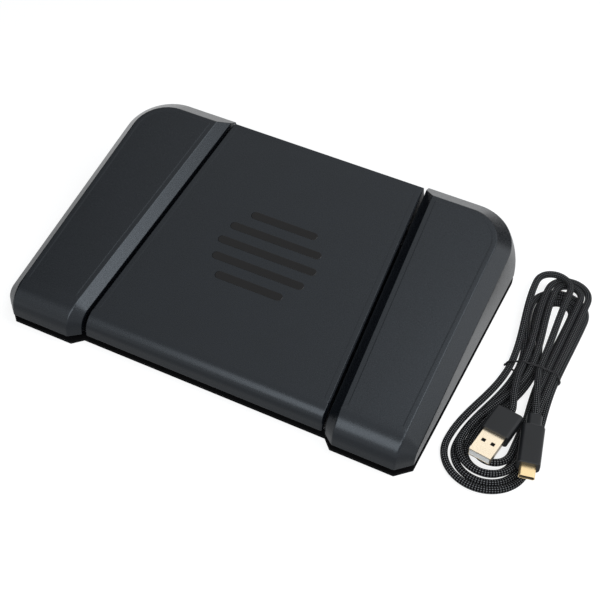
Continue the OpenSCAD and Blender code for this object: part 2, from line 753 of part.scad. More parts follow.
// The two plugs: where the cable enters, and which way they point, in degrees from straight towards the user
plug_z = cable_z + layer_step + cable_d / 2 + a_body_t / 2 + 0.15;
a_entry = [hank_x - 1.3, hank_y - 41.5, plug_z];
a_turn = -8;
c_entry = [hank_x + 10.8, hank_y - 36.5, plug_z];
c_turn = 12;
function plug_way(turn) = [sin(turn), -cos(turn), 0];
// From a plug's entry: straight out of its back, then along two points [q, p, drop] down to the waist
function lead(entry, turn, first, second) = concat([entry, entry - plug_way(turn) * cable_d],
    [for (v = [first, second]) [hank_x + v[0], hank_y + v[1], plug_z - v[2]]]);
a_lead = lead(a_entry, a_turn, [-4, -26, 0.1], [-6.4, -11, 1.7]);
c_lead = lead(c_entry, c_turn, [7.2, -22, 0.1], [4, -9, 1.8]);

rings_per_half = 12;
function hank_path(rings) = concat(c_lead, [for (i = [0:lobe_count * rings]) hank_at(i / rings)],
    [for (i = [3:-1:0]) a_lead[i]]);

// Least gap between stretches of the hank that aren't neighbours along the cable
function self_gap(path, skip) = min([for (i = [0:len(path) - skip - 1])
    min([for (j = [i + skip:len(path) - 1]) norm(path[i] - path[j])])]) - cable_d;
function path_length(path) = [for (i = 1, s = 0; i <= len(path); s = s + norm(path[min(i, len(path) - 1)]
    - path[i - 1]), i = i + 1) s][len(path) - 1];

module usb_cable() {
    fine = hank_path(48);
    echo(least_gap = self_gap(fine, 12), cable_length = path_length(fine));
    color("#2a2b2e") tube(hank_path(rings_per_half), cable_d / 2, 6);
}

// The tie goes round every run at the waist
module cable_tie() {
    runs = [for (k = [0:lobe_count]) hank_at(k)];
    color(rubber) translate([0, hank_y + tie_w / 2, 0]) rotate([90, 0, 0]) linear_extrude(tie_w) difference() {
        hull() for (c = runs) translate([c.x, c.z]) circle(cable_d / 2 + tie_t + 0.1, $fn = 32);
        hull() for (c = runs) translate([c.x, c.z]) circle(cable_d / 2 + 0.1, $fn = 32);
    }
}

// Puts a plug that is drawn along -Y from the origin at its cable entry
module plug_place(entry, turn) {
    translate(entry) rotate([0, 0, turn]) children();
}

// A block from y to y + l, l negative, with rounded long edges
module soft_block(w, t, y, l, r) {
    translate([0, y + l, 0]) rotate([-90, 0, 0]) linear_extrude(-l) {
        square([w, t - 2 * r], center = true);
        square([w - 2 * r, t], center = true);
        for (sx = [-1, 1]) for (sz = [-1, 1]) translate([sx * (w / 2 - r), sz * (t / 2 - r)]) circle(r);
    }
}

module hollow_block(w, t, y, l, wall_t) {
    difference() {
        translate([-w / 2, y + l, -t / 2]) cube([w, -l, t]);
        translate([-w / 2 + wall_t, y + l - 1, -t / 2 + wall_t]) cube([w - 2 * wall_t, -l + 0.4, t - 2 * wall_t]);
    }
}

module usb_a_body() {
    color(plastic) plug_place(a_entry, a_turn) soft_block(a_body_w, a_body_t, 0, -a_body_l, 1.2);
}

a_shell_w = 12;
a_shell_t = 4.5;
a_shell_l = 16;
module usb_a_shell() {
    window = 2.2;
    color(gold) plug_place(a_entry, a_turn) difference() {
        hollow_block(a_shell_w, a_shell_t, -a_body_l, -a_shell_l, 0.35);
        for (s = [-1, 1]) translate([s * 2.6 - window / 2, -a_body_l - 6.8 - window / 2, 0])
            cube([window, window, a_shell_t]);
    }
}

a_insulator_t = 2.7;
module usb_a_insulator() {
    color("#e8e6e0") plug_place(a_entry, a_turn)
        translate([-a_shell_w / 2 + 0.4, -a_body_l - a_shell_l + 0.2, -a_shell_t / 2 + 0.4])
            cube([a_shell_w - 0.8, a_shell_l - 0.8, a_insulator_t]);
}

c_neck_l = 8;
c_neck_w = 8;
module usb_c_body() {
    color(plastic) plug_place(c_entry, c_turn) {
        soft_block(c_neck_w, c_body_t - 1, 0, -c_neck_l - 0.5, 1.2);
        soft_block(c_body_w, c_body_t, -c_neck_l, -c_body_l, 1.2);
    }
}

c_shell_w = 8.3;
c_shell_t = 2.5;
c_shell_l = 6.7;
module usb_c_shell() {
    color(gold) plug_place(c_entry, c_turn) translate([0, -c_neck_l - c_body_l, 0]) rotate([90, 0, 0]) difference() {
        linear_extrude(c_shell_l) stadium(c_shell_w, c_shell_t);
        translate([0, 0, 0.6]) linear_extrude(c_shell_l) stadium(c_shell_w - 0.6, c_shell_t - 0.6);
    }
}

module usb_c_tongue() {
    color(rubber) plug_place(c_entry, c_turn) translate([0, -c_neck_l - c_body_l - 0.6, 0]) rotate([90, 0, 0])
        for (s = [-1, 1]) translate([0, s * 0.75, 0]) linear_extrude(c_shell_l - 1.2)
            square([c_shell_w - 2.6, 0.3], center = true);
}

pedal_left();
pedal_centre();
pedal_right();
tread_mark();
rubber_pad();
base_plate();
base_tray();
base_screws();
hinge_pin_left();
hinge_pin_centre();
hinge_pin_right();
springs_left();
springs_centre();
springs_right();
stop_bumpers();
circuit_board();
board_screws();
controller_chip();
board_parts();
usb_socket();
usb_socket_tongue();
switch_housing_left();
switch_housing_centre();
switch_housing_right();
switch_stem_left();
switch_stem_centre();
switch_stem_right();
usb_cable();
cable_tie();
usb_a_body();
usb_a_shell();
usb_a_insulator();
usb_c_body();
usb_c_shell();
usb_c_tongue();
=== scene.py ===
# %% [markdown]
# A USB foot switch: three wide plastic pedals on a rubber-soled base, and a braided cable in a hank
# beside them. The CAD frame holds every part at its true size. This lesson dresses it: it remakes the
# pieces whose surface matters most, gives each piece its finish, and lights the whole like a product on a
# white table.

import bmesh
import bpy
import numpy as np
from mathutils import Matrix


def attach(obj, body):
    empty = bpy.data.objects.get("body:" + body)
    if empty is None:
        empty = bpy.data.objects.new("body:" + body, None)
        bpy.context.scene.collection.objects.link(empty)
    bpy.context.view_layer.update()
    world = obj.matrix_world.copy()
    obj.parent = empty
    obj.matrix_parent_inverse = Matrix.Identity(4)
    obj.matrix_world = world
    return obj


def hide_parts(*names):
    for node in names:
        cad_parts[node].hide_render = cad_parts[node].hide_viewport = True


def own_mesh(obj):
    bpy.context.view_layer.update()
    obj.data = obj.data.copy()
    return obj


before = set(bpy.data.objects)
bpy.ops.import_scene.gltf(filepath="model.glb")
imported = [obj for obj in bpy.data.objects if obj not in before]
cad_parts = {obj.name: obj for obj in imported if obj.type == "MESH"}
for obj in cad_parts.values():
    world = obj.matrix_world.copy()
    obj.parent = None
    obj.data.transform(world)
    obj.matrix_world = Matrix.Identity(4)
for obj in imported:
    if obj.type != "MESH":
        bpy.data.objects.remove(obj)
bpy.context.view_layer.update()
MM = 0.001

# %% [markdown]
# The camera stands in front of the pedals, to their right, and looks down by 44.5 degrees. Its place
# comes from fitting the pedals' corners to the photograph, so the script writes the three axes of the
# view directly instead of turning the camera by hand.

# %% Place the camera
AZIMUTH, ELEVATION, ROLL = np.radians([22.4, 44.5, -4.6])
VIEW_DISTANCE = 680.0
VIEW_TARGET = np.array([25.0, -7.7, 20.0])
FOCAL_PIXELS, FRAME_PIXELS, SENSOR = 1241.0, 600.0, 36.0

forward = np.array([
    -np.sin(AZIMUTH) * np.cos(ELEVATION),
    np.cos(AZIMUTH) * np.cos(ELEVATION),
    -np.sin(ELEVATION),
])
level = np.cross(forward, [0.0, 0.0, 1.0])
level = level / np.linalg.norm(level)
plumb = np.cross(forward, level)
right = np.cos(ROLL) * level + np.sin(ROLL) * plumb
down = np.cos(ROLL) * plumb - np.sin(ROLL) * level
eye = (VIEW_TARGET - forward * VIEW_DISTANCE) * MM

placing = np.eye(4)
placing[:3, 0] = right
placing[:3, 1] = -down
placing[:3, 2] = -forward
placing[:3, 3] = eye
camera_data = bpy.data.cameras.new("photo_camera")
camera_data.sensor_fit = "HORIZONTAL"
camera_data.sensor_width = SENSOR
camera_data.lens = SENSOR * FOCAL_PIXELS / FRAME_PIXELS
camera_data.clip_start = 0.01
camera = bpy.data.objects.new("photo_camera", camera_data)
camera.matrix_world = placing.T.tolist()
bpy.context.scene.collection.objects.link(camera)
bpy.context.scene.camera = camera
print("camera at", np.round(eye, 3), "lens", round(camera_data.lens, 2))

# %% [markdown]
# Most pieces here are closed skins: loops of points stacked one behind the other, joined by quads, with a
# cap on each end. Blender's own primitives could be cut and joined instead, but numpy makes all points of
# a curved surface at once, and the mesh gets them in one call.

# %% Skins
def grid_faces(rows, columns):
    """Quads between neighbours of a grid of points; the last column joins the first."""
    index = np.arange(rows * columns).reshape(rows, columns)
    beside = np.roll(index, -1, axis=1)
    return np.stack([index[:-1], beside[:-1], beside[1:], index[1:]], axis=-1).reshape(-1, 4)


def capped_skin(loops):
    """Loops (loop, point, xyz) joined in order, with the first and the last loop filled."""
    rows, columns = loops.shape[:2]
    first = np.arange(columns)[None, ::-1]
    last = np.arange(columns)[None] + (rows - 1) * columns
    return loops.reshape(-1, 3), [grid_faces(rows, columns), first, last]


def ring_skin(loops):
    """Loops joined in order, and the last loop joined to the first, as round a ring."""
    again = np.concatenate([loops, loops[:1]])
    faces = grid_faces(*again.shape[:2]) % (loops.shape[0] * loops.shape[1])
    return loops.reshape(-1, 3), [faces]


print("skins ready")

# %% [markdown]
# A piece of the object may have several skins: a pedal cover has its shell and the posts under it. They
# become one mesh in metres, its faces are turned outwards, and the piece is told which body it rides on and
# which CAD nodes it stands for.

# %% Pieces
def new_piece(name, skins, body, nodes=()):
    """One object from several skins in mm, put into metres, faces outwards, riding on its body."""
    starts = np.cumsum([0] + [len(skin[0]) for skin in skins])
    points = np.concatenate([skin[0] for skin in skins]) * MM
    blocks = [block + start for skin, start in zip(skins, starts) for block in skin[1]]
    faces = [face for block in blocks for face in block.tolist()]
    mesh = bpy.data.meshes.new(name)
    mesh.from_pydata(points.tolist(), [], faces)
    work = bmesh.new()
    work.from_mesh(mesh)
    bmesh.ops.recalc_face_normals(work, faces=work.faces)
    work.to_mesh(mesh)
    work.free()
    mesh.polygons.foreach_set("use_smooth", np.ones(len(mesh.polygons), dtype=bool))
    made = bpy.data.objects.new(name, mesh)
    bpy.context.scene.collection.objects.link(made)
    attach(made, body)
    if nodes:
        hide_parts(*nodes)
    return made


def even_shading(made):
    """Normals weighted by face area, so that broad flats stay flat beside small roundings."""
    weighted = made.modifiers.new("even_shading", "WEIGHTED_NORMAL")
    weighted.mode = "FACE_AREA"
    weighted.weight = 100
    weighted.thresh = 0.01
    return made


print("pieces ready")

# %% [markdown]
# The cable is wound into a hank of five and a half turns, and both plugs lie on top of it. It crosses the
# waist twelve times, and between two crossings it goes round a lobe: a far one, then a near one, in turn.
# A simulation could drop a loose cable, but not into these loops. So each crossing and each lobe has its
# own place and layer, as in the CAD source, and the runs nest and climb over each other.

# %% Plan of the hank
CABLE_D, FLOOR_PLAY = 3.8, 0.1
LAYER_STEP = 3.95
HANK_X, HANK_Y = 154.5, 18.0
CABLE_Z = CABLE_D / 2 + FLOOR_PLAY
# Each crossing: how far right of the middle line in cable widths, and the layer
CROSSINGS = np.array([
    [0.58, 1.3], [-3.47, 0.4], [3.26, 0], [-2.24, 0], [2.18, 0], [-1.16, 0],
    [1.11, 0], [-0.05, 0], [1.66, 1], [-0.58, 1], [2.74, 1], [-1.76, 1.25],
])
# Each lobe: its middle and radius in cable widths, the length of its straight runs, and the layer
LOBES = np.array([
    [-2.68, 2.63, 65, 2], [-1.12, 5.67, 65, 0], [-0.58, 4.11, 54, 0], [-0.97, 4.45, 65, 0],
    [-0.58, 3.05, 54, 0], [-0.87, 3.26, 63.5, 0], [-0.58, 2, 54, 0], [-0.63, 2.53, 61.5, 1],
    [-0.24, 2, 66, 1], [-1.03, 3.97, 64, 1], [-0.24, 3.11, 66, 1],
])
print("hank:", len(LOBES), "lobes between", len(CROSSINGS), "crossings")

# %% [markdown]
# One function gives any point of the hank. A curve drawn by hand would need new handles whenever a loop
# moves. Here a run goes from its crossing to its lobe along half a cosine wave, which leaves and arrives
# without a kink, and the lobe itself is a half circle.

# %% Line through the hank
# The straight runs take this share of a half turn before and after the half circle
ARC_FROM = 0.25
# The tie passes under the runs, so they rise a little at the waist and are down again this far from it
TIE_T, WAIST_PLAY = 0.8, 0.05
WAIST_LIFT, WAIST_HALF = TIE_T + WAIST_PLAY, 30.0


def ease(low, high, t):
    """Half a cosine wave from low at t = 0 to high at t = 1, level outside."""
    return low + (high - low) * (1 - np.cos(np.pi * np.clip(t, 0, 1))) / 2


def hank_at(t):
    """Point after t half turns: a straight run to the lobe, a half circle, and a straight run back."""
    k = np.minimum(np.floor(t), len(LOBES) - 1).astype(int)
    h = t - k
    way = np.where(k % 2 == 0, 1, -1)
    middle, radius, run, layer = LOBES[k].T
    middle, radius = middle * CABLE_D, radius * CABLE_D
    leaving = h < 0.5
    waist_q, waist_layer = np.where(leaving[:, None], CROSSINGS[k], CROSSINGS[k + 1]).T
    side = np.where(leaving, way, -way)
    arc = (h - ARC_FROM) / (1 - 2 * ARC_FROM)
    on_arc = (arc >= 0) & (arc <= 1)
    along = np.minimum(h, 1 - h) / ARC_FROM
    p = way * np.where(on_arc, run + radius * np.sin(np.pi * arc), run * along)
    straight = ease(waist_q * CABLE_D, middle + side * radius, along)
    q = np.where(on_arc, middle + way * radius * np.cos(np.pi * arc), straight)
    level = np.where(on_arc, layer, ease(waist_layer, layer, along))
    z = CABLE_Z + level * LAYER_STEP + WAIST_LIFT * ease(1, 0, np.abs(p) / WAIST_HALF)
    return np.stack([HANK_X + q, HANK_Y + p, z], axis=-1)


print("first crossing at", np.round(hank_at(np.zeros(1))[0], 1))

# %% [markdown]
# Each end of the cable goes straight into the back of its plug. The plugs lie on the second layer of
# runs, turned a little to each side, and a lead of a few points takes the cable from a plug down to the
# waist.

# %% Leads to the plugs
PLUG_HALF_T, PLUG_PLAY = 4.0, 0.15
PLUG_Z = CABLE_Z + LAYER_STEP + CABLE_D / 2 + PLUG_HALF_T + PLUG_PLAY
A_ENTRY, A_TURN = np.array([HANK_X - 1.3, HANK_Y - 41.5, PLUG_Z]), np.radians(-8)
C_ENTRY, C_TURN = np.array([HANK_X + 10.8, HANK_Y - 36.5, PLUG_Z]), np.radians(12)
# Points of a lead: right of the hank's middle, beyond it, and above the plugs' height
A_LEAD = [(-4.0, -26.0, -0.1), (-6.4, -11.0, -1.7)]
C_LEAD = [(7.2, -22.0, -0.1), (4.0, -9.0, -1.8)]


def plug_way(turn):
    """Direction in which a plug points: towards the user, turned about the upright."""
    return np.array([np.sin(turn), -np.cos(turn), 0.0])


def lead(entry, turn, ways):
    """From a plug's entry: straight out of its back, then along the lead's points down to the waist."""
    hank = np.array([HANK_X, HANK_Y, PLUG_Z])
    return np.concatenate([[entry, entry - plug_way(turn) * CABLE_D], hank + np.array(ways)])


print("plugs lie at a height of", round(PLUG_Z, 1), "mm")

# %% [markdown]
# Where the leads join the hank, the line still has small corners, and a real cable has none. A curve
# object would smooth itself, but the skin, the braid and the cord's length need the points as well. So
# the line is cut into even steps, and each point becomes a mean of its neighbours.

# %% Smooth the whole line
LOBE_POINTS, LINE_STEP, RELAX_WIDTH = 48, 1.0, 9


def even_steps(path, step):
    """The same line with points one step apart along its length."""
    reach = np.concatenate([[0], np.cumsum(np.linalg.norm(np.diff(path, axis=0), axis=1))])
    at = np.linspace(0, reach[-1], int(reach[-1] / step) + 1)
    return np.stack([np.interp(at, reach, path[:, axis]) for axis in range(3)], axis=-1)


def relaxed(path, width):
    """Each point becomes the weighted mean of its neighbours; the ends keep their place and direction."""
    weights = np.hanning(width + 2)[1:-1]
    weights = weights / weights.sum()
    wide = np.pad(path, ((width // 2, width // 2), (0, 0)), mode="reflect", reflect_type="odd")
    return np.stack([np.convolve(wide[:, axis], weights, mode="valid") for axis in range(3)], axis=-1)


half_turns = np.linspace(0, len(LOBES), len(LOBES) * LOBE_POINTS + 1)
cable_line = np.concatenate([
    lead(C_ENTRY, C_TURN, C_LEAD),
    hank_at(half_turns),
    lead(A_ENTRY, A_TURN, A_LEAD)[::-1],
])
cable_line = relaxed(even_steps(cable_line, LINE_STEP), RELAX_WIDTH)
cable_steps = np.linalg.norm(np.diff(cable_line, axis=0), axis=1)

# %% [markdown]
# The cable's skin is a circle carried along that line. A curve with a round bevel would look the same,
# but the braid needs a UV map in metres, which is simple to write for a grid of points. The line never
# stands upright, so the circle's two axes come from the direction of travel and the upright.

# %% Skin of the cable
CABLE_SIDES = 16
# The soft braid fills the play between neighbouring runs
SKIN_R = CABLE_D / 2 + 0.06


def swept_rings(line, radius, sides):
    """A circle carried along a line that is never upright: side = way x up, over = side x way."""
    ways = np.gradient(line, axis=0)
    ways = ways / np.linalg.norm(ways, axis=1, keepdims=True)
    side = np.cross(ways, [0.0, 0.0, 1.0])
    side = side / np.linalg.norm(side, axis=1, keepdims=True)
    over = np.cross(side, ways)
    angle = np.arange(sides) / sides * 2 * np.pi
    across = side[:, None] * np.cos(angle)[None, :, None] * radius
    return line[:, None] + across - over[:, None] * np.sin(angle)[None, :, None] * radius


cable_skin = capped_skin(swept_rings(cable_line, SKIN_R, CABLE_SIDES))
braided_cable = new_piece("braided_cable", [cable_skin], "base", ["usb_cable"])
print("cable skin:", len(braided_cable.data.polygons), "faces")

# %% [markdown]
# The braid follows the surface, so the cable gets a UV map: U runs along it in metres, V once around it.
# The UVs are written per face corner, and the faces that close the circle end at V = 1 instead of going
# back to 0, so the braid has no seam.

# %% UV map of the braid
cable_reach = np.concatenate([[0], np.cumsum(cable_steps)]) * MM
corner_vertex = np.zeros(len(braided_cable.data.loops), dtype=int)
braided_cable.data.loops.foreach_get("vertex_index", corner_vertex)
ring_of, place_of = corner_vertex // CABLE_SIDES, corner_vertex % CABLE_SIDES
quad_corners = (len(cable_line) - 1) * CABLE_SIDES * 4
face_place = place_of[:quad_corners].reshape(-1, 4)
wraps = (face_place.max(axis=1) - face_place.min(axis=1) > 1)[:, None] & (face_place == 0)
around = place_of / CABLE_SIDES
around[:quad_corners] = (face_place + wraps * CABLE_SIDES).ravel() / CABLE_SIDES
braid_map = braided_cable.data.uv_layers.new(name="braid")
braid_map.data.foreach_set("uv", np.stack([cable_reach[ring_of], around], axis=-1).ravel())
print("braid map: U up to", round(cable_reach[-1], 3), "m")

# %% [markdown]
# A thin black cord holds the hank at its waist. It is pulled tight round all the runs, so its line is the
# outline of a bundle of circles: for every direction, the run that reaches furthest in that direction. A
# scaled torus would cut through some runs and stand off from others.

# %% Tie round the waist
TIE_W, TIE_LEAN, TIE_PLAY, TIE_POINTS, TIE_SIDES = 1.2, 0.06, 0.1, 160, 12


def bundle_outline(centres, radius, count):
    """Outline round circles of one radius: in each direction, the furthest centre plus the radius."""
    angle = np.arange(count) / count * 2 * np.pi
    way = np.stack([np.cos(angle), np.sin(angle)], axis=-1)
    furthest = np.argmax(way @ centres.T, axis=1)
    return centres[furthest] + radius * way


def fuller(wave):
    """A sine or cosine wave with its size raised to 0.9, which makes a circle a little squarer."""
    return np.sign(wave) * np.abs(wave) ** 0.9


waist_runs = hank_at(np.arange(len(LOBES) + 1.0))
outline = bundle_outline(waist_runs[:, [0, 2]], CABLE_D / 2 + TIE_PLAY + TIE_T / 2, TIE_POINTS)
tie_y = HANK_Y + TIE_LEAN * (outline[:, 0] - HANK_X)
tie_line = np.stack([outline[:, 0], tie_y, outline[:, 1]], axis=-1)
tie_ahead = np.roll(tie_line, -1, axis=0) - np.roll(tie_line, 1, axis=0)
tie_ahead = tie_ahead / np.linalg.norm(tie_ahead, axis=1, keepdims=True)
tie_across = np.array([0.0, 1.0, 0.0]) - tie_ahead * tie_ahead[:, 1:2]
tie_out = np.cross(tie_ahead, tie_across)
tie_angle = np.arange(TIE_SIDES) / TIE_SIDES * 2 * np.pi
tie_rings = tie_line[:, None] + tie_across[:, None] * fuller(np.cos(tie_angle))[None, :, None] * TIE_W / 2
tie_rings = tie_rings + tie_out[:, None] * fuller(np.sin(tie_angle))[None, :, None] * TIE_T / 2
print("tie round", len(waist_runs), "runs")

# %% [markdown]
# The tie's two ends are cut short and twisted together at the left of the waist. A bent cylinder would
# show no twist, so each end is a thin round cord along a helix, half a turn apart from the other.

# %% Twisted ends of the tie
TAIL_R, TAIL_SIDES, TAIL_POINTS = 0.42, 10, 60
TAIL_TURNS, TAIL_DROOP = 3.5, 1.2
# The two ends wind about each other at this distance, and open by a little more over the last quarter
TAIL_WIND, TAIL_OPEN, TAIL_OPENS_AT = 0.3, 0.2, 0.75
# Where they start from the tie's leftmost point, and how far they reach from there
TAIL_LEAVE, TAIL_REACH = np.array([0.2, 0.0, 0.3]), np.array([-0.8, -1.0, -0.5])


def twisted_tail(start, end, phase):
    """One of two ends wound round each other: a helix about a line that droops, opening out at its end."""
    t = np.linspace(0, 1, TAIL_POINTS)[:, None]
    axis = start + (end - start) * t - np.array([0.0, 0.0, TAIL_DROOP]) * t * (1 - t)
    angle = 2 * np.pi * TAIL_TURNS * t + phase
    reach = TAIL_WIND + TAIL_OPEN * np.clip((t - TAIL_OPENS_AT) / (1 - TAIL_OPENS_AT), 0, 1)
    wound = np.cos(angle) * np.array([0.0, 1.0, 0.0]) + np.sin(angle) * np.array([0.0, 0.0, 1.0])
    return axis + reach * wound


tail_start = tie_line[np.argmin(tie_line[:, 0])] + TAIL_LEAVE
tail_end = tail_start + TAIL_REACH
tail_lines = [twisted_tail(tail_start, tail_end, phase) for phase in (0, np.pi)]
tails = [capped_skin(swept_rings(line, TAIL_R, TAIL_SIDES)) for line in tail_lines]
waist_tie = new_piece("waist_tie", [ring_skin(tie_rings)] + tails, "base", ["cable_tie"])
print("tie:", len(waist_tie.data.polygons), "faces")

# %% [markdown]
# Each plug's grip is a soft block moulded over the cable's end. A box with a bevel modifier would have
# one rounding everywhere. Here the section is a rectangle with round corners, carried along the plug with
# a new size at each station, so that the ends are rounded too, and the USB-C grip gets its slimmer neck
# on the cable's side.

# %% Sections of a grip
CORNER_POINTS, END_STEPS = 7, 6


def round_rectangles(widths, thicks, radii):
    """Loops of rectangles with round corners: a quarter circle about each corner's centre."""
    quarter = np.linspace(0, np.pi / 2, CORNER_POINTS)
    angle = (quarter[None] + np.arange(4)[:, None] * np.pi / 2).ravel()
    signs = np.array([[1, 1], [-1, 1], [-1, -1], [1, -1]]).repeat(CORNER_POINTS, axis=0)
    halves = np.stack([widths, thicks], axis=-1) / 2 - radii[:, None]
    circle = np.stack([np.cos(angle), np.sin(angle)], axis=-1)
    return signs[None] * halves[:, None] + radii[:, None, None] * circle


def grip_skin(stations, entry, turn):
    """Sections (distance, width, thickness, corner) along the plug, turned and moved to its entry."""
    distance, width, thick, corner = stations.T
    section = round_rectangles(width, thick, corner)
    along = np.broadcast_to(-distance[:, None], section.shape[:2])
    points, faces = capped_skin(np.stack([section[..., 0], along, section[..., 1]], axis=-1))
    spin = np.array([[np.cos(turn), -np.sin(turn), 0], [np.sin(turn), np.cos(turn), 0], [0, 0, 1]])
    return points @ spin.T + entry, faces


def eased_end(distance, width, thick, corner, depth, way):
    """Stations over one rounded end, a quarter circle of the given depth: every side sinks in, and the
    corner radius shrinks by half of that; way is 1 behind, -1 in front."""
    bow = np.linspace(0, np.pi / 2, END_STEPS)
    sunk = depth * (1 - np.sin(bow))
    along = distance + way * depth * (1 - np.cos(bow))
    steps = np.stack([along, width - 2 * sunk, thick - 2 * sunk, corner - 0.5 * sunk], axis=-1)
    return steps[::way]


print("grip sections of", 4 * CORNER_POINTS, "points")

# %% [markdown]
# The USB-A grip is one short block. The USB-C grip is longer and slimmer, and its neck flares a little
# where it meets the grip. Both are lists of stations, so that a new size is a new number and not a new
# mesh.

# %% Two plug grips
A_GRIP_L, A_GRIP = 18.0, (15.5, 8.0, 1.8)
C_GRIP_L, C_GRIP = 26.0, (12.0, 7.0, 2.2)
C_NECK_L, C_NECK = 8.0, (8.0, 6.0, 2.4)
# The neck flares before it meets the grip: over which length, and by how much in width and thickness
FLARE_L, FLARE_W, FLARE_T, GRIP_STEP = 0.6, 0.6, 0.2, 0.05
# How deep each end is rounded
A_BACK, C_BACK, GRIP_FRONT = 1.2, 0.8, 0.5
a_stations = np.concatenate([
    eased_end(0, *A_GRIP, A_BACK, 1),
    eased_end(A_GRIP_L, *A_GRIP, GRIP_FRONT, -1),
])
c_stations = np.concatenate([
    eased_end(0, *C_NECK, C_BACK, 1),
    [(C_NECK_L - FLARE_L, *C_NECK), (C_NECK_L, C_NECK[0] + FLARE_W, C_NECK[1] + FLARE_T, C_NECK[2])],
    eased_end(C_NECK_L + GRIP_STEP, *C_GRIP, C_BACK, 1),
    eased_end(C_NECK_L + C_GRIP_L, *C_GRIP, GRIP_FRONT, -1),
])
a_skin = grip_skin(a_stations, A_ENTRY, A_TURN)
c_skin = grip_skin(c_stations, C_ENTRY, C_TURN)
a_grip = even_shading(new_piece("usb_a_grip", [a_skin], "base", ["usb_a_body"]))
c_grip = even_shading(new_piece("usb_c_grip", [c_skin], "base", ["usb_c_body"]))
print("plug grips:", len(a_stations), "and", len(c_stations), "stations")

# %% [markdown]
# The cable is loose. The shells and contacts of the plugs are CAD nodes that stay.

# %% [markdown]
# A pedal cover is one moulded shell. Around its flat top panel lie bevels, and towards the user the top
# rolls over in a bend. A bevelled box can't have bevels that turn down beside a bend. So the shape is a
# ring of columns: each runs from the panel's edge over the bevel or the bend to the skirt's lower edge,
# then back up along the inside.

# %% Sizes that the pedals share
BODY_W, BODY_D = 241.0, 162.0
HALF_W, HALF_D = BODY_W / 2, BODY_D / 2
SLOPE = np.radians(13.4)
RISE = np.tan(SLOPE)
FRONT_TOP_Z, SKIRT_Z, WALL = 21.3, 6.1, 2.5
GAP_WALL_X, GAP_TAPER, PEDAL_GAP = 67.0, 0.068, 1.8


def top_z(y):
    """Height of the outer pedals' sloped top."""
    return FRONT_TOP_Z + RISE * (y + HALF_D)


def gap_wall(y):
    """Where an outer pedal's wall stands beside the centre pedal; the gap comes in towards the far side."""
    return GAP_WALL_X - GAP_TAPER * y


print("pedal tops rise from", FRONT_TOP_Z, "to", round(top_z(HALF_D), 1), "mm")

# %% [markdown]
# A plain column is a ramp over the bevel and then a wall down to the skirt. The walls bow out towards
# their foot, and some end higher up, where the tray and the board lie under them. All columns of a side
# are made together: a row holds one point of each.

# %% Ramps and walls
STEPS, WALL_STEPS, WALL_BOW = 12, 6, 1.5


def wall_rows(lower, foot, end):
    """From a bevel's lower edge towards the foot at the skirt: the height falls evenly with t, and the wall
    bows out by 1 - (1 - t) ** 1.5 of the way to the foot; each column stops at its own end height."""
    fall = lower[:, 2] - SKIRT_Z
    t = np.linspace(0, 1, WALL_STEPS + 1)[1:, None] * (lower[:, 2] - end) / fall
    bow = (1 - (1 - t) ** WALL_BOW)[..., None]
    flat = lower[:, :2] + (foot[:, :2] - lower[:, :2]) * bow
    return np.concatenate([flat, (lower[:, 2] - fall * t)[..., None]], axis=-1)


def bevel_rows(upper, lower, foot, end):
    """Straight ramps from the upper to the lower points, then down the walls."""
    t = np.linspace(0, 1, STEPS + 1)[:, None, None]
    ramp = upper[None] + (lower - upper)[None] * t
    return np.concatenate([ramp, wall_rows(lower, foot, end)])


print("a column has", STEPS + WALL_STEPS + 1, "rows")

# %% [markdown]
# Where a bevel meets the bend, it turns down with it. Its upper edge follows the large bend of the top,
# its lower edge a smaller bend in the wall, and the columns between them fan out like the ribs of an
# umbrella.

# %% Bends and turned bevels
TURN_STEPS = 6
TURN_SHARES = np.linspace(1, 0, TURN_STEPS + 1)
TURN_SLIPS = np.linspace(0, 1, TURN_STEPS + 2)[1:]


def bend_edge(share, front, radius, drop):
    """y and z on a bend after a share of its turn: an arc that touches the sloped top and the front."""
    angle = np.pi / 2 + SLOPE + (np.pi / 2 - SLOPE) * share
    centre_z = top_z(front + radius) - drop - radius / np.cos(SLOPE)
    return front + radius + radius * np.cos(angle), centre_z + radius * np.sin(angle)


def straight_edge(x):
    """An edge that has the same x at every y."""
    return lambda y: np.full_like(y, x)


def corner_rows(shares, over, slips, up, low, up_x, low_x):
    """Columns where a bevel turns down beside the bend. Its upper edge follows the bend, its lower edge a
    smaller bend in the wall, and the surface joins equal shares of both turns: row t of a column lies
    t x share round and t x over across. The slips spread the columns' starts along the panel's edge."""
    t = np.linspace(0, 1, STEPS + 1)[:, None]
    up_y, up_z = bend_edge(t * shares, *up)
    low_y, low_z = bend_edge(t * shares, *low)
    upper = np.stack([up_x(up_y), up_y, up_z], axis=-1)
    lower = np.stack([low_x(low_y), low_y, low_z], axis=-1)
    rows = upper + (lower - upper) * over * t[..., None]
    slide = (1 - t) * slips
    rows = rows + np.stack([np.zeros_like(slide), slide, slide * RISE], axis=-1)
    return np.concatenate([rows, wall_rows(rows[-1], rows[-1], SKIRT_Z)])


print("a turned bevel has", TURN_STEPS + 1, "columns")

# %% [markdown]
# The columns give a grid with sharp edges, and moulded plastic has none. A bevel modifier would round the
# flat grid lines too, so a helper replaces only the named rows and columns by small arcs, first down the
# columns and then around the ring. A narrow rim line lies around each panel.

# %% Rounded edges and the whole shell
RIM, RIM_STEP = 2.6, 0.5
# How far each rounding reaches: at the panel, the bevel's two edges, the skirt outside and inside
PANEL_TRIM, UPPER_TRIM, LOWER_TRIM, SKIRT_TRIM, INNER_TRIM = 0.3, 0.4, 0.8, 0.4, 0.3


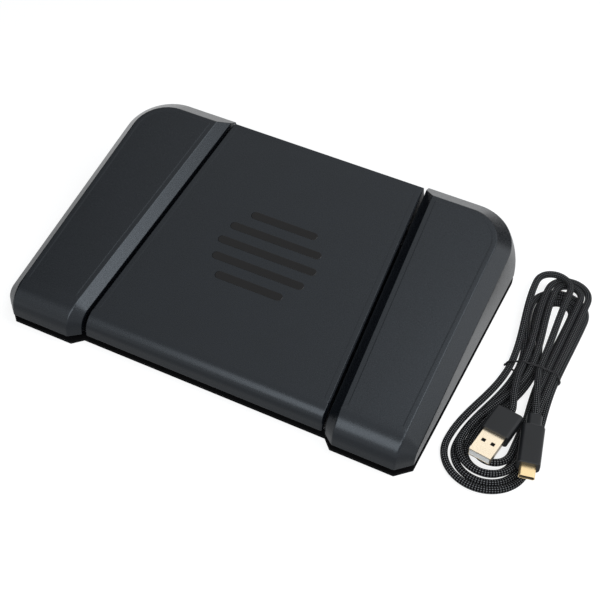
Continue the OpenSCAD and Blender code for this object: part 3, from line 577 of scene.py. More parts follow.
def soften(rows, trims, steps=3, closed=False):
    """Each row with a trim becomes an arc: a parabola from a point towards its neighbour before to one
    towards its neighbour after, both one trim away or 45% of the way, with the old point as its corner."""
    before, after = np.roll(rows, 1, axis=0), np.roll(rows, -1, axis=0)
    t = np.linspace(0, 1, steps + 1)[:, None, None]
    done = []
    for at, trim in enumerate(trims):
        if trim == 0 or (not closed and at in (0, len(trims) - 1)):
            done.append(rows[at][None])
            continue
        ends = []
        for neighbour in (before[at], after[at]):
            gap = neighbour - rows[at]
            length = np.linalg.norm(gap, axis=-1, keepdims=True)
            ends.append(rows[at] + gap * np.minimum(trim / np.maximum(length, 1e-6), 0.45))
        done.append((1 - t) ** 2 * ends[0] + 2 * t * (1 - t) * rows[at] + t ** 2 * ends[1])
    return np.concatenate(done)


def cover_skin(panel, columns, ring_trims, sink):
    """The whole shell: sunk panel, rim, outer skin, skirt edge, inner skin; edges rounded both ways."""
    outer, inner = columns(0.0), columns(WALL)
    rows = np.concatenate([panel(RIM + RIM_STEP, sink)[None], panel(RIM, 0.0)[None], outer, inner[::-1]])
    trims = np.zeros(len(rows))
    skirt = 2 + STEPS + WALL_STEPS
    trims[1], trims[2], trims[2 + STEPS] = PANEL_TRIM, UPPER_TRIM, LOWER_TRIM
    trims[skirt], trims[skirt + 1] = SKIRT_TRIM, INNER_TRIM
    rows = soften(rows, trims)
    rows = soften(rows.swapaxes(0, 1), ring_trims, closed=True).swapaxes(0, 1)
    return capped_skin(rows)


print("shell helpers ready")

# %% [markdown]
# The two outer pedals mirror each other. Going round one: the bend at the front, the side bevel that
# starts as a cut corner, the round far corner, the far bevel, and the steep bevel beside the gap, which
# comes down to just below the centre pedal's top. The wall under that bevel stops short behind the hinge,
# where the board and the tray lie.

# %% Sizes of the outer pedals
BEND_R, SIDE_TURN_R, GAP_TURN_R = 14.0, 6.0, 9.0
SIDE_BEVEL_W, SIDE_BEVEL_DROP, SIDE_CHAMFER = 7.7, 9.1, 7.9
GAP_BEVEL_W, GAP_BEVEL_DROP, GAP_CHAMFER, WING_BACK = 6.0, 5.1, 5.1, 0.4
FAR_BEVEL_W, FAR_CORNER_R, PANEL_CORNER_R = 12.5, 27.0, 20.0
FAR_FOOT_OUT, FOOT_CORNER_R = 14.0, 12.0
LOW_WALL, LOW_WALL_Y, LOW_FOOT_Y, LOW_RUN = 14.5, -66.0, 89.0, 2.0
WING_SINK, SINK_TILT = -0.2, 1.6
ARC_STEPS, FAR_RUN = 20, 1.0
corner_angle = np.linspace(0, np.pi / 2, ARC_STEPS + 1)
round_corner = np.stack([np.cos(corner_angle), np.sin(corner_angle)], axis=-1)


def upper_shift(width, drop, d):
    """How far a bevel's upper edge moves in when its surface moves in by d."""
    return d * (np.hypot(width, drop) - width) / drop


def lower_shift(width, drop, d):
    """How far a bevel's lower edge moves down when its surface moves in by d."""
    return d * (np.hypot(width, drop) - drop) / width


def beside_gap(ys, out):
    """Points at the given y, out from the wall beside the gap."""
    ys = np.array(ys)
    return np.column_stack([gap_wall(ys) + out, ys])


gap_lean = np.degrees(np.arctan2(GAP_BEVEL_DROP, GAP_BEVEL_W - WING_BACK))
print("gap bevels lean by", round(gap_lean), "degrees")

# %% [markdown]
# The flat panel is tilted by a hair against its rim: it stands proud beside the gap and is sunk at the
# outer side, which draws a thin line around it. Its loop has one point for each column of the shell, so
# both join without spare faces. Blender's inset tool would not keep that order.

# %% Outer pedals' panel
def wing_panel(inset, sink):
    """Loop of the flat panel, point for point as the columns stand: moved in by inset, and lowered by sink
    at the gap, which fades and turns round towards the outer side."""
    start = -HALF_D + BEND_R - BEND_R * np.sin(SLOPE) + inset
    side = HALF_W - SIDE_BEVEL_W - inset
    far = HALF_D - FAR_BEVEL_W - inset
    radius = PANEL_CORNER_R - inset
    gap = GAP_BEVEL_W + inset
    low_y = max(LOW_WALL_Y, start + LOW_RUN)
    turn_ys = start + TURN_SLIPS
    flat = np.concatenate([
        [[gap_wall(start) + gap, start], [side, start]],
        np.column_stack([np.full(TURN_STEPS + 1, side), turn_ys]),
        [side - radius, far - radius] + radius * round_corner,
        beside_gap([far, far, low_y], gap + np.array([FAR_RUN, 0.0, 0.0])),
        beside_gap(turn_ys[::-1], gap),
    ])
    xs, ys = flat.T
    across = (xs - xs.min()) / (xs.max() - xs.min())
    return np.column_stack([flat, top_z(ys) - sink * (1 - SINK_TILT * across)])


print("outer panel loop:", len(wing_panel(RIM, 0.0)), "points")

# %% [markdown]
# The columns are made twice: for the outer skin, and moved in by the wall for the inner one. A solidify
# modifier could cross itself in the small bends. Here the edges of each bevel move by what an even wall
# needs.

# %% Outer pedals' shell
def wing_columns(d):
    """Columns of the right outer pedal, its surface moved in by d: the bend, the side's turned bevel, the
    plain columns from the side round the far corner to the gap, and the gap's turned bevel."""
    drop, beside = d / np.cos(SLOPE), d + WING_BACK
    side_drop = SIDE_BEVEL_DROP + lower_shift(SIDE_BEVEL_W, SIDE_BEVEL_DROP, d)
    gap_drop = GAP_BEVEL_DROP + lower_shift(GAP_BEVEL_W, GAP_BEVEL_DROP, d)
    side_in = upper_shift(SIDE_BEVEL_W, SIDE_BEVEL_DROP, d)
    gap_in = upper_shift(GAP_BEVEL_W, GAP_BEVEL_DROP, d) + GAP_BEVEL_W
    panel_x = HALF_W - SIDE_BEVEL_W - side_in
    panel_y = HALF_D - FAR_BEVEL_W - side_in
    far = HALF_D - d
    meet_y = panel_y + (far - panel_y) * (gap_drop - drop) / (side_drop - drop)

    up = (d - HALF_D, BEND_R - d, drop)
    side_low = (-HALF_D + SIDE_CHAMFER + d / 2, SIDE_TURN_R - d / 2, side_drop)
    gap_low = (-HALF_D + GAP_CHAMFER + d / 2, GAP_TURN_R - d / 2, gap_drop)
    side_edges = (straight_edge(panel_x), straight_edge(HALF_W - d))
    gap_edges = (lambda y: gap_wall(y) + gap_in, lambda y: gap_wall(y) + beside)
    whole, still = np.ones(1), np.zeros(1)
    bend = [
        corner_rows(whole, 0.0, still, up, gap_low, *gap_edges),
        corner_rows(whole, 0.0, still, up, side_low, *side_edges),
    ]
    side_turn = corner_rows(TURN_SHARES, 1.0, TURN_SLIPS, up, side_low, *side_edges)
    gap_turn = corner_rows(TURN_SHARES[::-1], 1.0, TURN_SLIPS[::-1], up, gap_low, *gap_edges)

    low_y = max(LOW_WALL_Y, up[0] + up[1] + LOW_RUN)
    foot_y = HALF_D + FAR_FOOT_OUT
    upper = np.concatenate([
        [panel_x - PANEL_CORNER_R, panel_y - PANEL_CORNER_R] + PANEL_CORNER_R * round_corner,
        beside_gap([panel_y, panel_y, low_y], gap_in + np.array([FAR_RUN, 0.0, 0.0])),
    ])
    lower = np.concatenate([
        [HALF_W - FAR_CORNER_R, HALF_D - FAR_CORNER_R] + (FAR_CORNER_R - d) * round_corner,
        beside_gap([far, meet_y, low_y], beside),
    ])
    foot = np.concatenate([
        [HALF_W - FOOT_CORNER_R, foot_y - FOOT_CORNER_R] + (FOOT_CORNER_R - d) * round_corner,
        beside_gap([foot_y - d, LOW_FOOT_Y, low_y], beside),
    ])
    falls = np.append(np.full(ARC_STEPS + 2, side_drop), [gap_drop, gap_drop])
    ends = np.append(np.full(ARC_STEPS + 2, SKIRT_Z), [LOW_WALL, LOW_WALL])
    upper = np.column_stack([upper, top_z(upper[:, 1]) - drop])
    lower = np.column_stack([lower, top_z(lower[:, 1]) - falls])
    return np.concatenate(bend + [side_turn, bevel_rows(upper, lower, foot, ends), gap_turn], axis=1)


GAP_TRIM, SIDE_TRIM, TURN_TRIM, FAR_TRIM = 0.6, 0.8, 0.9, 0.5
turn_trims = np.append(TURN_TRIM, np.zeros(TURN_STEPS))
far_trims = np.append(np.zeros(ARC_STEPS + 1), [FAR_TRIM, FAR_TRIM, 0.0])
wing_trims = np.concatenate([[GAP_TRIM, SIDE_TRIM], turn_trims, far_trims, turn_trims[::-1]])
wing_skin = cover_skin(wing_panel, wing_columns, wing_trims, WING_SINK)
print("outer pedal shell:", len(wing_skin[0]), "points")

# %% [markdown]
# The centre pedal sits lower and a little further back than its neighbours, with plain sides and small
# broken edges. Its far wall has a notch in front of the USB socket. It is made from the same columns, so
# that all three covers have the same wall and the same roundings.

# %% Sizes and panel of the centre pedal
CENTRE_BEND_R, CENTRE_DROP, CENTRE_SETBACK, CENTRE_FAR_IN = 9.0, 4.75, 5.6, 4.4
CENTRE_LIP, CENTRE_SINK, EDGE_BREAK = 0.6, 0.08, 0.9
PORT_HALF, PORT_TOP, PORT_STEP = 10.0, 19.0, 0.3
SIDE_RUN, FAR_STEP = 1.0, 1.6
CENTRE_NEAR, CENTRE_FAR = -HALF_D + CENTRE_SETBACK, HALF_D - CENTRE_FAR_IN
NOTCH_XS = np.array([PORT_HALF + PORT_STEP, PORT_HALF, -PORT_HALF, -PORT_HALF - PORT_STEP])


def centre_wall(y):
    """Where the centre pedal's side wall stands."""
    return gap_wall(y) - PEDAL_GAP + CENTRE_LIP


def round_centre(side_xs, side_ys, far_y):
    """Points of the right side, the notch and the left side."""
    xs = np.concatenate([side_xs, NOTCH_XS, -side_xs[::-1]])
    ys = np.concatenate([side_ys, np.full(len(NOTCH_XS), far_y), side_ys[::-1]])
    return np.column_stack([xs, ys])


def centre_panel(inset, sink):
    """Loop of the flat panel, moved in by inset and lowered by sink."""
    near = CENTRE_NEAR + CENTRE_BEND_R - CENTRE_BEND_R * np.sin(SLOPE) + inset
    far = CENTRE_FAR - EDGE_BREAK - inset
    side_ys = np.array([near + SIDE_RUN, max(LOW_WALL_Y, near + LOW_RUN), far - FAR_STEP, far])
    front_x = centre_wall(CENTRE_NEAR) - EDGE_BREAK - inset
    around = round_centre(centre_wall(side_ys) - EDGE_BREAK - inset, side_ys, far)
    flat = np.concatenate([[[-front_x, near], [front_x, near]], around])
    return np.column_stack([flat, top_z(flat[:, 1]) - CENTRE_DROP - sink])


print("centre panel loop:", len(centre_panel(RIM, 0.0)), "points")

# %% [markdown]
# The centre pedal's columns start at a small broken edge instead of a wide bevel. Four columns stand at
# the notch, and the inner two end higher up, so the opening needs no boolean.

# %% Centre pedal's shell
def centre_columns(d):
    """Columns of the centre pedal, its surface moved in by d: the bend, then the right side, the far wall
    with its notch, and the left side."""
    drop = CENTRE_DROP + d / np.cos(SLOPE)
    radius = CENTRE_BEND_R - d
    front, far = CENTRE_NEAR + d, CENTRE_FAR - d
    start = front + radius - radius * np.sin(SLOPE)
    front_y, far_up, far_foot = front + EDGE_BREAK, far - EDGE_BREAK, far + FAR_FOOT_OUT
    up_y = np.array([start + SIDE_RUN, max(LOW_WALL_Y, start + LOW_RUN), far_up - FAR_STEP, far_up])
    low_y = np.array([front_y, LOW_WALL_Y, far - FAR_STEP, far])
    foot_y = np.array([front_y, LOW_WALL_Y, far_foot - FAR_STEP, far_foot])
    low_z = top_z(low_y) - drop - EDGE_BREAK
    low_z[0] = top_z(front_y + radius) - drop - radius

    upper = round_centre(centre_wall(up_y) - d - EDGE_BREAK, up_y, far_up)
    lower = round_centre(centre_wall(low_y) - d, low_y, far)
    foot = round_centre(centre_wall(foot_y) - d, foot_y, far_foot)
    upper = np.column_stack([upper, top_z(upper[:, 1]) - drop])
    lower = np.column_stack([lower, np.concatenate([low_z, np.full(len(NOTCH_XS), low_z[3]), low_z[::-1]])])
    side_ends = np.array([SKIRT_Z, LOW_WALL, LOW_WALL, SKIRT_Z])
    notch_ends = np.array([SKIRT_Z, PORT_TOP, PORT_TOP, SKIRT_Z])
    ends = np.concatenate([side_ends, notch_ends, side_ends[::-1]])

    front_x = centre_wall(front) - d - EDGE_BREAK
    edge = (front, radius, drop)
    bend = [
        corner_rows(np.ones(1), 0.0, np.zeros(1), edge, edge, straight_edge(x), straight_edge(x))
        for x in (-front_x, front_x)
    ]
    return np.concatenate(bend + [bevel_rows(upper, lower, foot, ends)], axis=1)


side_trims = [GAP_TRIM, 0.0, 0.0, FAR_TRIM]
centre_trims = [GAP_TRIM, GAP_TRIM] + side_trims + [0.0, 0.0, 0.0, 0.0] + side_trims[::-1]
centre_skin = cover_skin(centre_panel, centre_columns, centre_trims, CENTRE_SINK)
print("centre pedal shell:", len(centre_skin[0]), "points")

# %% [markdown]
# Under each cover stand the things that make it work: two hinge knuckles with their webs, posts that hold
# the springs and meet the rubber stops, a pusher over the switch, and a hook that stops the pedal at
# rest. They are simple closed skins that end inside the roof, so that the shell and its posts are one
# piece without a boolean.

# %% Posts, blocks and knuckles
HINGE_Y, HINGE_Z, PIN_BORE, LUG_D, LUG_T = -66.0, 11.0, 4.1, 8.6, 6.0
POST_SIDES, POST_BREAK, KNUCKLE_SIDES = 32, 0.4, 40


def post(x, y, radius, low, high):
    """An upright round post with a small break at its lower edge; high is a height or a function of y."""
    angle = np.linspace(0, 2 * np.pi, POST_SIDES, endpoint=False)
    size = np.array([radius - POST_BREAK, radius, radius])[:, None]
    xs, ys = x + size * np.cos(angle), y + size * np.sin(angle)
    zs = np.zeros_like(xs)
    zs[0], zs[1] = low, low + POST_BREAK
    zs[2] = high(ys[2]) if callable(high) else high
    return capped_skin(np.stack([xs, ys, zs], axis=-1))


def block(low, high):
    """A plain box from its lowest to its highest corner, as two loops."""
    corners = np.array([[0, 0], [1, 0], [1, 1], [0, 1]])
    low, high = np.array(low), np.array(high)
    flat = low[:2] + corners * (high - low)[:2]
    loops = [np.column_stack([flat, np.full(4, z)]) for z in (low[2], high[2])]
    return capped_skin(np.array(loops))


def knuckle(x):
    """A bored sleeve about the hinge line: a rectangle of its wall carried round the line."""
    angle = np.linspace(0, 2 * np.pi, KNUCKLE_SIDES, endpoint=False)
    reach = np.array([LUG_D, LUG_D, PIN_BORE, PIN_BORE]) / 2
    along = x + np.array([-1, 1, 1, -1]) * LUG_T / 2
    y = HINGE_Y + np.cos(angle)[:, None] * reach
    z = HINGE_Z + np.sin(angle)[:, None] * reach
    return ring_skin(np.stack([np.broadcast_to(along, y.shape), y, z], axis=-1))


print("posts, blocks and knuckles ready")

# %% [markdown]
# Places and sizes are those of the CAD source, so that the pins, springs, bumpers and switches meet what
# stands over them. One function makes the set for any pedal, from its middle line, the places of its
# knuckles and springs, and how far its roof is lowered.

# %% What stands under a cover
FLOOR_Z, ROOF_IN = 6.0, 1.3
WEB_IN, WEB_UP, LUG_GAP, LUG_PLAY = 0.6, 3.0, 1.0, 0.75
SPRING_Y, SPRING_H, SPRING_D, WIRE_D = 5.0, 20.0, 10.0, 1.2
SEAT_OUT, PEG_L, PEG_IN, PEG_PLAY = 1.0, 6.0, 0.5, 0.6
BUMPER_Y, BUMPER_D, BUMPER_H, STOP_IN, STOP_PLAY = 30.0, 10.0, 4.0, 1.0, 0.3
SWITCH_Y, PUSHER_Z, PUSHER_D = 47.6, 20.5, 8.0
KEEPER_Y, HOOK_HALF, HOOK_T, TOE_L, TOE_Z, TOE_H = -21.0, 5.0, 3.0, 5.0, 9.0, 2.5
PRESS = np.tan(np.radians(1.4))
STOP_Z = FLOOR_Z + BUMPER_H + (BUMPER_Y - HINGE_Y) * PRESS + STOP_PLAY


def under_cover(x, lug, pair, drop):
    """Knuckles, posts, pusher and hook of the pedal whose middle line is at x."""
    def roof(y):
        """Height inside the roof at which the posts end."""
        return top_z(y) - drop - ROOF_IN

    skins = []
    spring_top, half = FLOOR_Z + SPRING_H, LUG_D / 2 - WEB_IN
    peg_r = SPRING_D / 2 - WIRE_D - PEG_PLAY
    for way in (-1, 1):
        at = x + way * (lug - LUG_GAP - LUG_T / 2)
        web_low = (at - LUG_T / 2, HINGE_Y - half, HINGE_Z + WEB_UP)
        web_high = (at + LUG_T / 2, HINGE_Y + half, roof(HINGE_Y))
        beside = x + way * pair
        skins.append(knuckle(at))
        skins.append(block(web_low, web_high))
        skins.append(post(beside, SPRING_Y, SPRING_D / 2 + SEAT_OUT, spring_top, roof))
        skins.append(post(beside, SPRING_Y, peg_r, spring_top - PEG_L, spring_top + PEG_IN))
        skins.append(post(beside, BUMPER_Y, BUMPER_D / 2 - STOP_IN, STOP_Z, roof))
    skins.append(post(x, SWITCH_Y, PUSHER_D / 2, PUSHER_Z, roof))
    hook_top = roof(KEEPER_Y + HOOK_T / 2)
    skins.append(block((x - HOOK_HALF, KEEPER_Y, TOE_Z), (x + HOOK_HALF, KEEPER_Y + HOOK_T, hook_top)))
    toe_high = (x + HOOK_HALF, KEEPER_Y + HOOK_T, TOE_Z + TOE_H)
    skins.append(block((x - HOOK_HALF, KEEPER_Y - TOE_L, TOE_Z), toe_high))
    return skins


print("stops meet the bumpers from a height of", round(STOP_Z, 2), "mm")

# %% [markdown]
# The left cover is the right one with its x reversed. A mirror modifier would keep both in one object,
# and the two pedals move on their own. Reversing one axis turns a mesh inside out, so it matters that
# every new piece has its faces turned outwards.

# %% Three covers
WING_X = (GAP_WALL_X + HALF_W) / 2
WING_LUG = WING_X - gap_wall(HINGE_Y) - WALL - LUG_PLAY - LUG_T
CENTRE_LUG = gap_wall(HINGE_Y) - PEDAL_GAP - 2 * WALL - 2 * LUG_T
WING_PAIR, CENTRE_PAIR = WING_LUG + 1, 32.0


def mirrored(skin):
    """The same skin on the other side of the middle plane."""
    return skin[0] * np.array([-1.0, 1.0, 1.0]), skin[1]


right_skins = [wing_skin] + under_cover(WING_X, WING_LUG, WING_PAIR, 0.0)
cover_skins = {
    "left": [mirrored(skin) for skin in right_skins],
    "centre": [centre_skin] + under_cover(0.0, CENTRE_LUG, CENTRE_PAIR, CENTRE_DROP),
    "right": right_skins,
}
covers = []
for side, skins in cover_skins.items():
    cover = new_piece("cover_" + side, skins, side + "_pedal", ["pedal_" + side])
    covers.append(even_shading(cover))
print("covers:", [len(cover.data.polygons) for cover in covers], "faces")

# %% [markdown]
# A plain set of five glossy bars marks the middle of the centre pedal. Each bar is a strip with round
# ends and a slightly crowned top, which a flat decal would not have.

# %% Tread bars
MARK_R, BAR_W, BAR_PITCH, BAR_COUNT, BAR_POINTS = 30.0, 5.0, 11.0, 5, 48
# Loops of a bar from below the panel to its top: how far in from the edge, and how high
BAR_PROUD = 0.12
BAR_INSETS = np.array([0.02, 0.02, 0.1, 0.35])[:, None]
BAR_HEIGHTS = np.array([-0.3, BAR_PROUD - 0.08, BAR_PROUD - 0.02, BAR_PROUD])[:, None]


def tread_bar(y):
    """A stadium loop, repeated at a few heights and pulled in towards the top, laid on the sloped panel."""
    half_l = np.sqrt(MARK_R ** 2 - y ** 2) - BAR_W / 2
    angle = np.linspace(0, 2 * np.pi, BAR_POINTS, endpoint=False)
    middle = np.sign(np.cos(angle)) * half_l
    radius = BAR_W / 2 - BAR_INSETS
    x = middle[None] + radius * np.cos(angle)
    along = y + radius * np.sin(angle)
    rise = np.broadcast_to(BAR_HEIGHTS, along.shape)
    flat_y = along * np.cos(SLOPE) - rise * np.sin(SLOPE)
    flat_z = top_z(0) - CENTRE_DROP - CENTRE_SINK + along * np.sin(SLOPE) + rise * np.cos(SLOPE)
    return capped_skin(np.stack([x, flat_y, flat_z], axis=-1))


bars = [tread_bar((k - (BAR_COUNT - 1) / 2) * BAR_PITCH) for k in range(BAR_COUNT)]
tread_bars = even_shading(new_piece("tread_bars", bars, "centre_pedal", ["tread_mark"]))
print("tread bars:", BAR_COUNT)

# %% [markdown]
# Two coil springs lift each pedal. A screw modifier could wind them, but a round wire carried along a helix
# lets the first and the last half turn lie flat, as on a real spring. A pressed pedal shortens its springs.

# %% Springs
SPRING_TURNS, TURN_POINTS, WIRE_SIDES, SPRING_PLAY = 6, 32, 10, 0.02


def coil_line(x):
    """Helix about the upright at x: equal steps round; the height waits for half a turn at both ends."""
    t = np.linspace(0, 1, SPRING_TURNS * TURN_POINTS + 1)
    angle = 2 * np.pi * SPRING_TURNS * t
    flat = 0.5 / SPRING_TURNS
    climb = np.clip((t - flat) / (1 - 2 * flat), 0, 1)
    radius = (SPRING_D - WIRE_D) / 2
    z = FLOOR_Z + WIRE_D / 2 + SPRING_PLAY + (SPRING_H - WIRE_D - 2 * SPRING_PLAY) * climb
    return np.stack([x + radius * np.cos(angle), SPRING_Y + radius * np.sin(angle), z], axis=-1)


spring_places = {"left": (-WING_X, WING_PAIR), "centre": (0.0, CENTRE_PAIR), "right": (WING_X, WING_PAIR)}
springs = []
for side, (x, pair) in spring_places.items():
    lines = [coil_line(x + way * pair) for way in (-1, 1)]
    coils = [capped_skin(swept_rings(line, WIRE_D / 2, WIRE_SIDES)) for line in lines]
    coil_pair = new_piece("coils_" + side, coils, "base", ["springs_" + side])
    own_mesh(coil_pair)
    springs.append(coil_pair)

# %% [markdown]
# Every finish below is built from nodes, so that it has grain at the right scale. Wiring nodes takes many
# lines, so small helpers do what repeats: start a material, add a node, make a noise, colour it, spread
# it over a range, and turn it into a fine bump.

# %% Node helpers
def new_finish(name, colour, roughness, metallic=0.0, gloss=0.5):
    """A material with its main shader set to plain values; gloss is its specular level."""
    finish = bpy.data.materials.new(name)
    finish.use_nodes = True
    shader = finish.node_tree.nodes["Principled BSDF"]
    shader.inputs["Base Color"].default_value = (*colour, 1.0)
    shader.inputs["Roughness"].default_value = roughness
    shader.inputs["Metallic"].default_value = metallic
    shader.inputs["Specular IOR Level"].default_value = gloss
    return finish, finish.node_tree, shader


def node(tree, kind, settings=(), values=()):
    """A new node with its properties and its input values."""
    made = tree.nodes.new(kind)
    for key, value in dict(settings).items():
        setattr(made, key, value)
    for key, value in dict(values).items():
        made.inputs[key].default_value = value
    return made


def noise(tree, scale, detail=2.0, stretch=(1.0, 1.0, 1.0)):
    """Noise on Object coordinates, in grains per metre, stretched along the axes if asked."""
    place = node(tree, "ShaderNodeTexCoord")
    mapping = node(tree, "ShaderNodeMapping", values={"Scale": stretch})
    grain = node(tree, "ShaderNodeTexNoise", values={"Scale": scale, "Detail": detail})
    tree.links.new(place.outputs["Object"], mapping.inputs["Vector"])
    tree.links.new(mapping.outputs["Vector"], grain.inputs["Vector"])
    return grain.outputs["Fac"]


def ramp(tree, source, low, high, colours):
    """A colour that goes from the first to the second as the source goes from low to high."""
    made = node(tree, "ShaderNodeValToRGB")
    for stop, place, colour in zip(made.color_ramp.elements, (low, high), colours):
        stop.position = place
        stop.color = (*colour, 1.0)
    tree.links.new(source, made.inputs["Fac"])
    return made.outputs["Color"]


def spread(tree, source, low, high, target):
    """Feeds a socket with the source, its middle half stretched to run from low to high."""
    ends = {"From Min": 0.25, "From Max": 0.75, "To Min": low, "To Max": high}
    made = node(tree, "ShaderNodeMapRange", values=ends)
    tree.links.new(source, made.inputs["Value"])
    tree.links.new(made.outputs["Result"], target)


def bump(tree, source, shader, strength, depth_mm):
    """A bump of the given depth from the source's value."""
    made = node(tree, "ShaderNodeBump", values={"Strength": strength, "Distance": depth_mm * MM})
    tree.links.new(source, made.inputs["Height"])
    tree.links.new(made.outputs["Normal"], shader.inputs["Normal"])


print("node helpers ready")

# %% [markdown]
# Moulded plastic, rubber, and cast or brushed metal differ in their numbers more than in their build: a
# colour that drifts slowly, and a fine grain that changes the roughness and lifts the surface. So one
# function makes them all.

# %% Grained finishes
DRIFT_SCALE, DRIFT_DETAIL, DRIFT_FROM, DRIFT_TO = 60.0, 3.0, 0.3, 0.7
GRAIN_DETAIL, ROUGHNESS_PLAY = 2.0, 0.06


def grained(name, colour, roughness, grain=2500.0, depth=0.05, strength=0.3, vary=0.12, metallic=0.0,
            gloss=0.5, stretch=(1.0, 1.0, 1.0)):
    """A moulded, cast or brushed finish: a slowly drifting colour, roughness and bump from a fine grain."""
    finish, tree, shader = new_finish(name, colour, roughness, metallic, gloss)
    colour = np.array(colour)
    drift = noise(tree, DRIFT_SCALE, DRIFT_DETAIL)
    tint = ramp(tree, drift, DRIFT_FROM, DRIFT_TO, (colour * (1 - vary), colour * (1 + vary)))
    tree.links.new(tint, shader.inputs["Base Color"])
    fine = noise(tree, grain, GRAIN_DETAIL, stretch)
    spread(tree, fine, roughness - ROUGHNESS_PLAY, roughness + ROUGHNESS_PLAY, shader.inputs["Roughness"])
    bump(tree, fine, shader, strength, depth)
    return finish


def dress(made, finish):
    """Gives every material slot of an object the one finish."""
    if not made.material_slots:
        made.data.materials.append(finish)
    for slot in made.material_slots:
        slot.material = finish


print("grained finishes ready")

# %% [markdown]
# The pedals are dark charcoal ABS, moulded with a fine matte texture. It looks dark from above and light
# where a bevel mirrors the studio at a low angle, so its colour stays near black and its cool sheen does
# the rest. The pad is matte rubber, the tread bars are polished, and the plugs and the tie are smoother
# plastics.

# %% Plastic and rubber finishes
pedal_plastic = grained("pedal_plastic", (0.0032, 0.004, 0.0055), 0.3, grain=1600, depth=0.03, strength=0.4,
                        gloss=0.38)
pedal_shader = pedal_plastic.node_tree.nodes["Principled BSDF"]
pedal_shader.inputs["Specular Tint"].default_value = (0.84, 0.92, 1.0, 1.0)
mark_gloss = grained("mark_gloss", (0.002, 0.002, 0.0025), 0.14, grain=900, depth=0.01, strength=0.1,
                     gloss=0.25)
pad_rubber = grained("pad_rubber", (0.003, 0.003, 0.0034), 0.8, grain=1400, depth=0.08, strength=0.5,
                     gloss=0.06)
tray_plastic = grained("tray_plastic", (0.02, 0.021, 0.023), 0.5, grain=1800, depth=0.04)
chip_epoxy = grained("chip_epoxy", (0.012, 0.012, 0.013), 0.55, grain=5000, depth=0.02, strength=0.4)
switch_plastic = grained("switch_plastic", (0.022, 0.023, 0.026), 0.45, grain=2600, depth=0.03)
stem_plastic = grained("stem_plastic", (0.2, 0.03, 0.036), 0.38, grain=2600, depth=0.02, strength=0.2)
tie_plastic = grained("tie_plastic", (0.006, 0.006, 0.007), 0.5, grain=2200, depth=0.03, gloss=0.25)
plug_plastic = grained("plug_plastic", (0.007, 0.0078, 0.009), 0.4, grain=3000, depth=0.02, gloss=0.26)
print("plastics and rubber:", len(bpy.data.materials), "finishes so far")

# %% [markdown]
# The metals are inside, apart from the plugs' gilded shells. The plate and the pins are brushed, which is
# a grain stretched along one axis, and the gilding is smooth, with almost no bump.

# %% Metal finishes
STEEL = {"metallic": 1.0, "strength": 0.2}
BRUSHED_PLATE, BRUSHED_PIN = (1.0, 14.0, 1.0), (1.0, 10.0, 10.0)
GILT = {"metallic": 1.0, "strength": 0.1, "grain": 5000, "depth": 0.002, "vary": 0.04}
plate_steel = grained("plate_steel", (0.5, 0.51, 0.53), 0.36, grain=300, depth=0.02,
                      stretch=BRUSHED_PLATE, **STEEL)
screw_steel = grained("screw_steel", (0.09, 0.09, 0.1), 0.4, grain=1500, depth=0.02, **STEEL)
pin_steel = grained("pin_steel", (0.6, 0.61, 0.63), 0.25, grain=400, depth=0.01,
                    stretch=BRUSHED_PIN, **STEEL)
spring_steel = grained("spring_steel", (0.45, 0.46, 0.48), 0.32, grain=1600, depth=0.01, **STEEL)
board_metal = grained("board_metal", (0.42, 0.39, 0.33), 0.35, grain=1800, depth=0.01, **STEEL)
socket_steel = grained("socket_steel", (0.62, 0.62, 0.64), 0.28, grain=600, depth=0.01, **STEEL)
plug_gold = grained("plug_gold", (0.89, 0.77, 0.59), 0.28, **GILT)
tip_gold = grained("tip_gold", (0.86, 0.66, 0.37), 0.3, **GILT)
print("metals:", len(bpy.data.materials), "finishes so far")

# %% [markdown]
# The USB-A insulator is white at the plug's mouth. Further in, behind the shell's windows, its colour is
# painted dark as the shade inside the shell: painted shade. Two pieces would do, but it is one moulding, so
# its colour changes with the depth: the distance along the plug, as a dot product.

# %% Insulator finish
A_SHELL_L, A_MOUTH_L, MOUTH_EDGE = 16.0, 1.6, 0.2
# The dark colour is painted shade for the insulator deep inside the shell
MOUTH_WHITE, SHELL_PAINTED_SHADE = (0.82, 0.82, 0.8), (0.012, 0.011, 0.01)
insulator_plastic = grained("insulator_plastic", MOUTH_WHITE, 0.45, grain=2400, depth=0.02, strength=0.2,
                            vary=0.03)
way_in = plug_way(A_TURN)
mouth_end = A_ENTRY @ way_in + A_GRIP_L + A_SHELL_L - A_MOUTH_L
tree = insulator_plastic.node_tree
place = node(tree, "ShaderNodeTexCoord")
reach = node(tree, "ShaderNodeVectorMath", {"operation": "DOT_PRODUCT"}, {1: way_in})
tree.links.new(place.outputs["Object"], reach.inputs[0])
mouth_ends = {"From Min": (mouth_end - MOUTH_EDGE) * MM, "From Max": mouth_end * MM}
depth_in = node(tree, "ShaderNodeMapRange", values=mouth_ends)
tree.links.new(reach.outputs["Value"], depth_in.inputs["Value"])
# Painted shade: the insulator is dark deep in the shell and white at its mouth
white_and_painted_shade = ramp(tree, depth_in.outputs["Result"], 0.0, 1.0, (SHELL_PAINTED_SHADE, MOUTH_WHITE))
tree.links.new(white_and_painted_shade, tree.nodes["Principled BSDF"].inputs["Base Color"])
print("insulator turns white at", round(mouth_end, 1), "mm along the plug")

# %% [markdown]
# The board is green laminate with copper tracks under the lacquer. A drawn layout would be an image, so a
# brick pattern stands in for the tracks: its thin mortar lines are a lighter green and stand slightly
# proud.

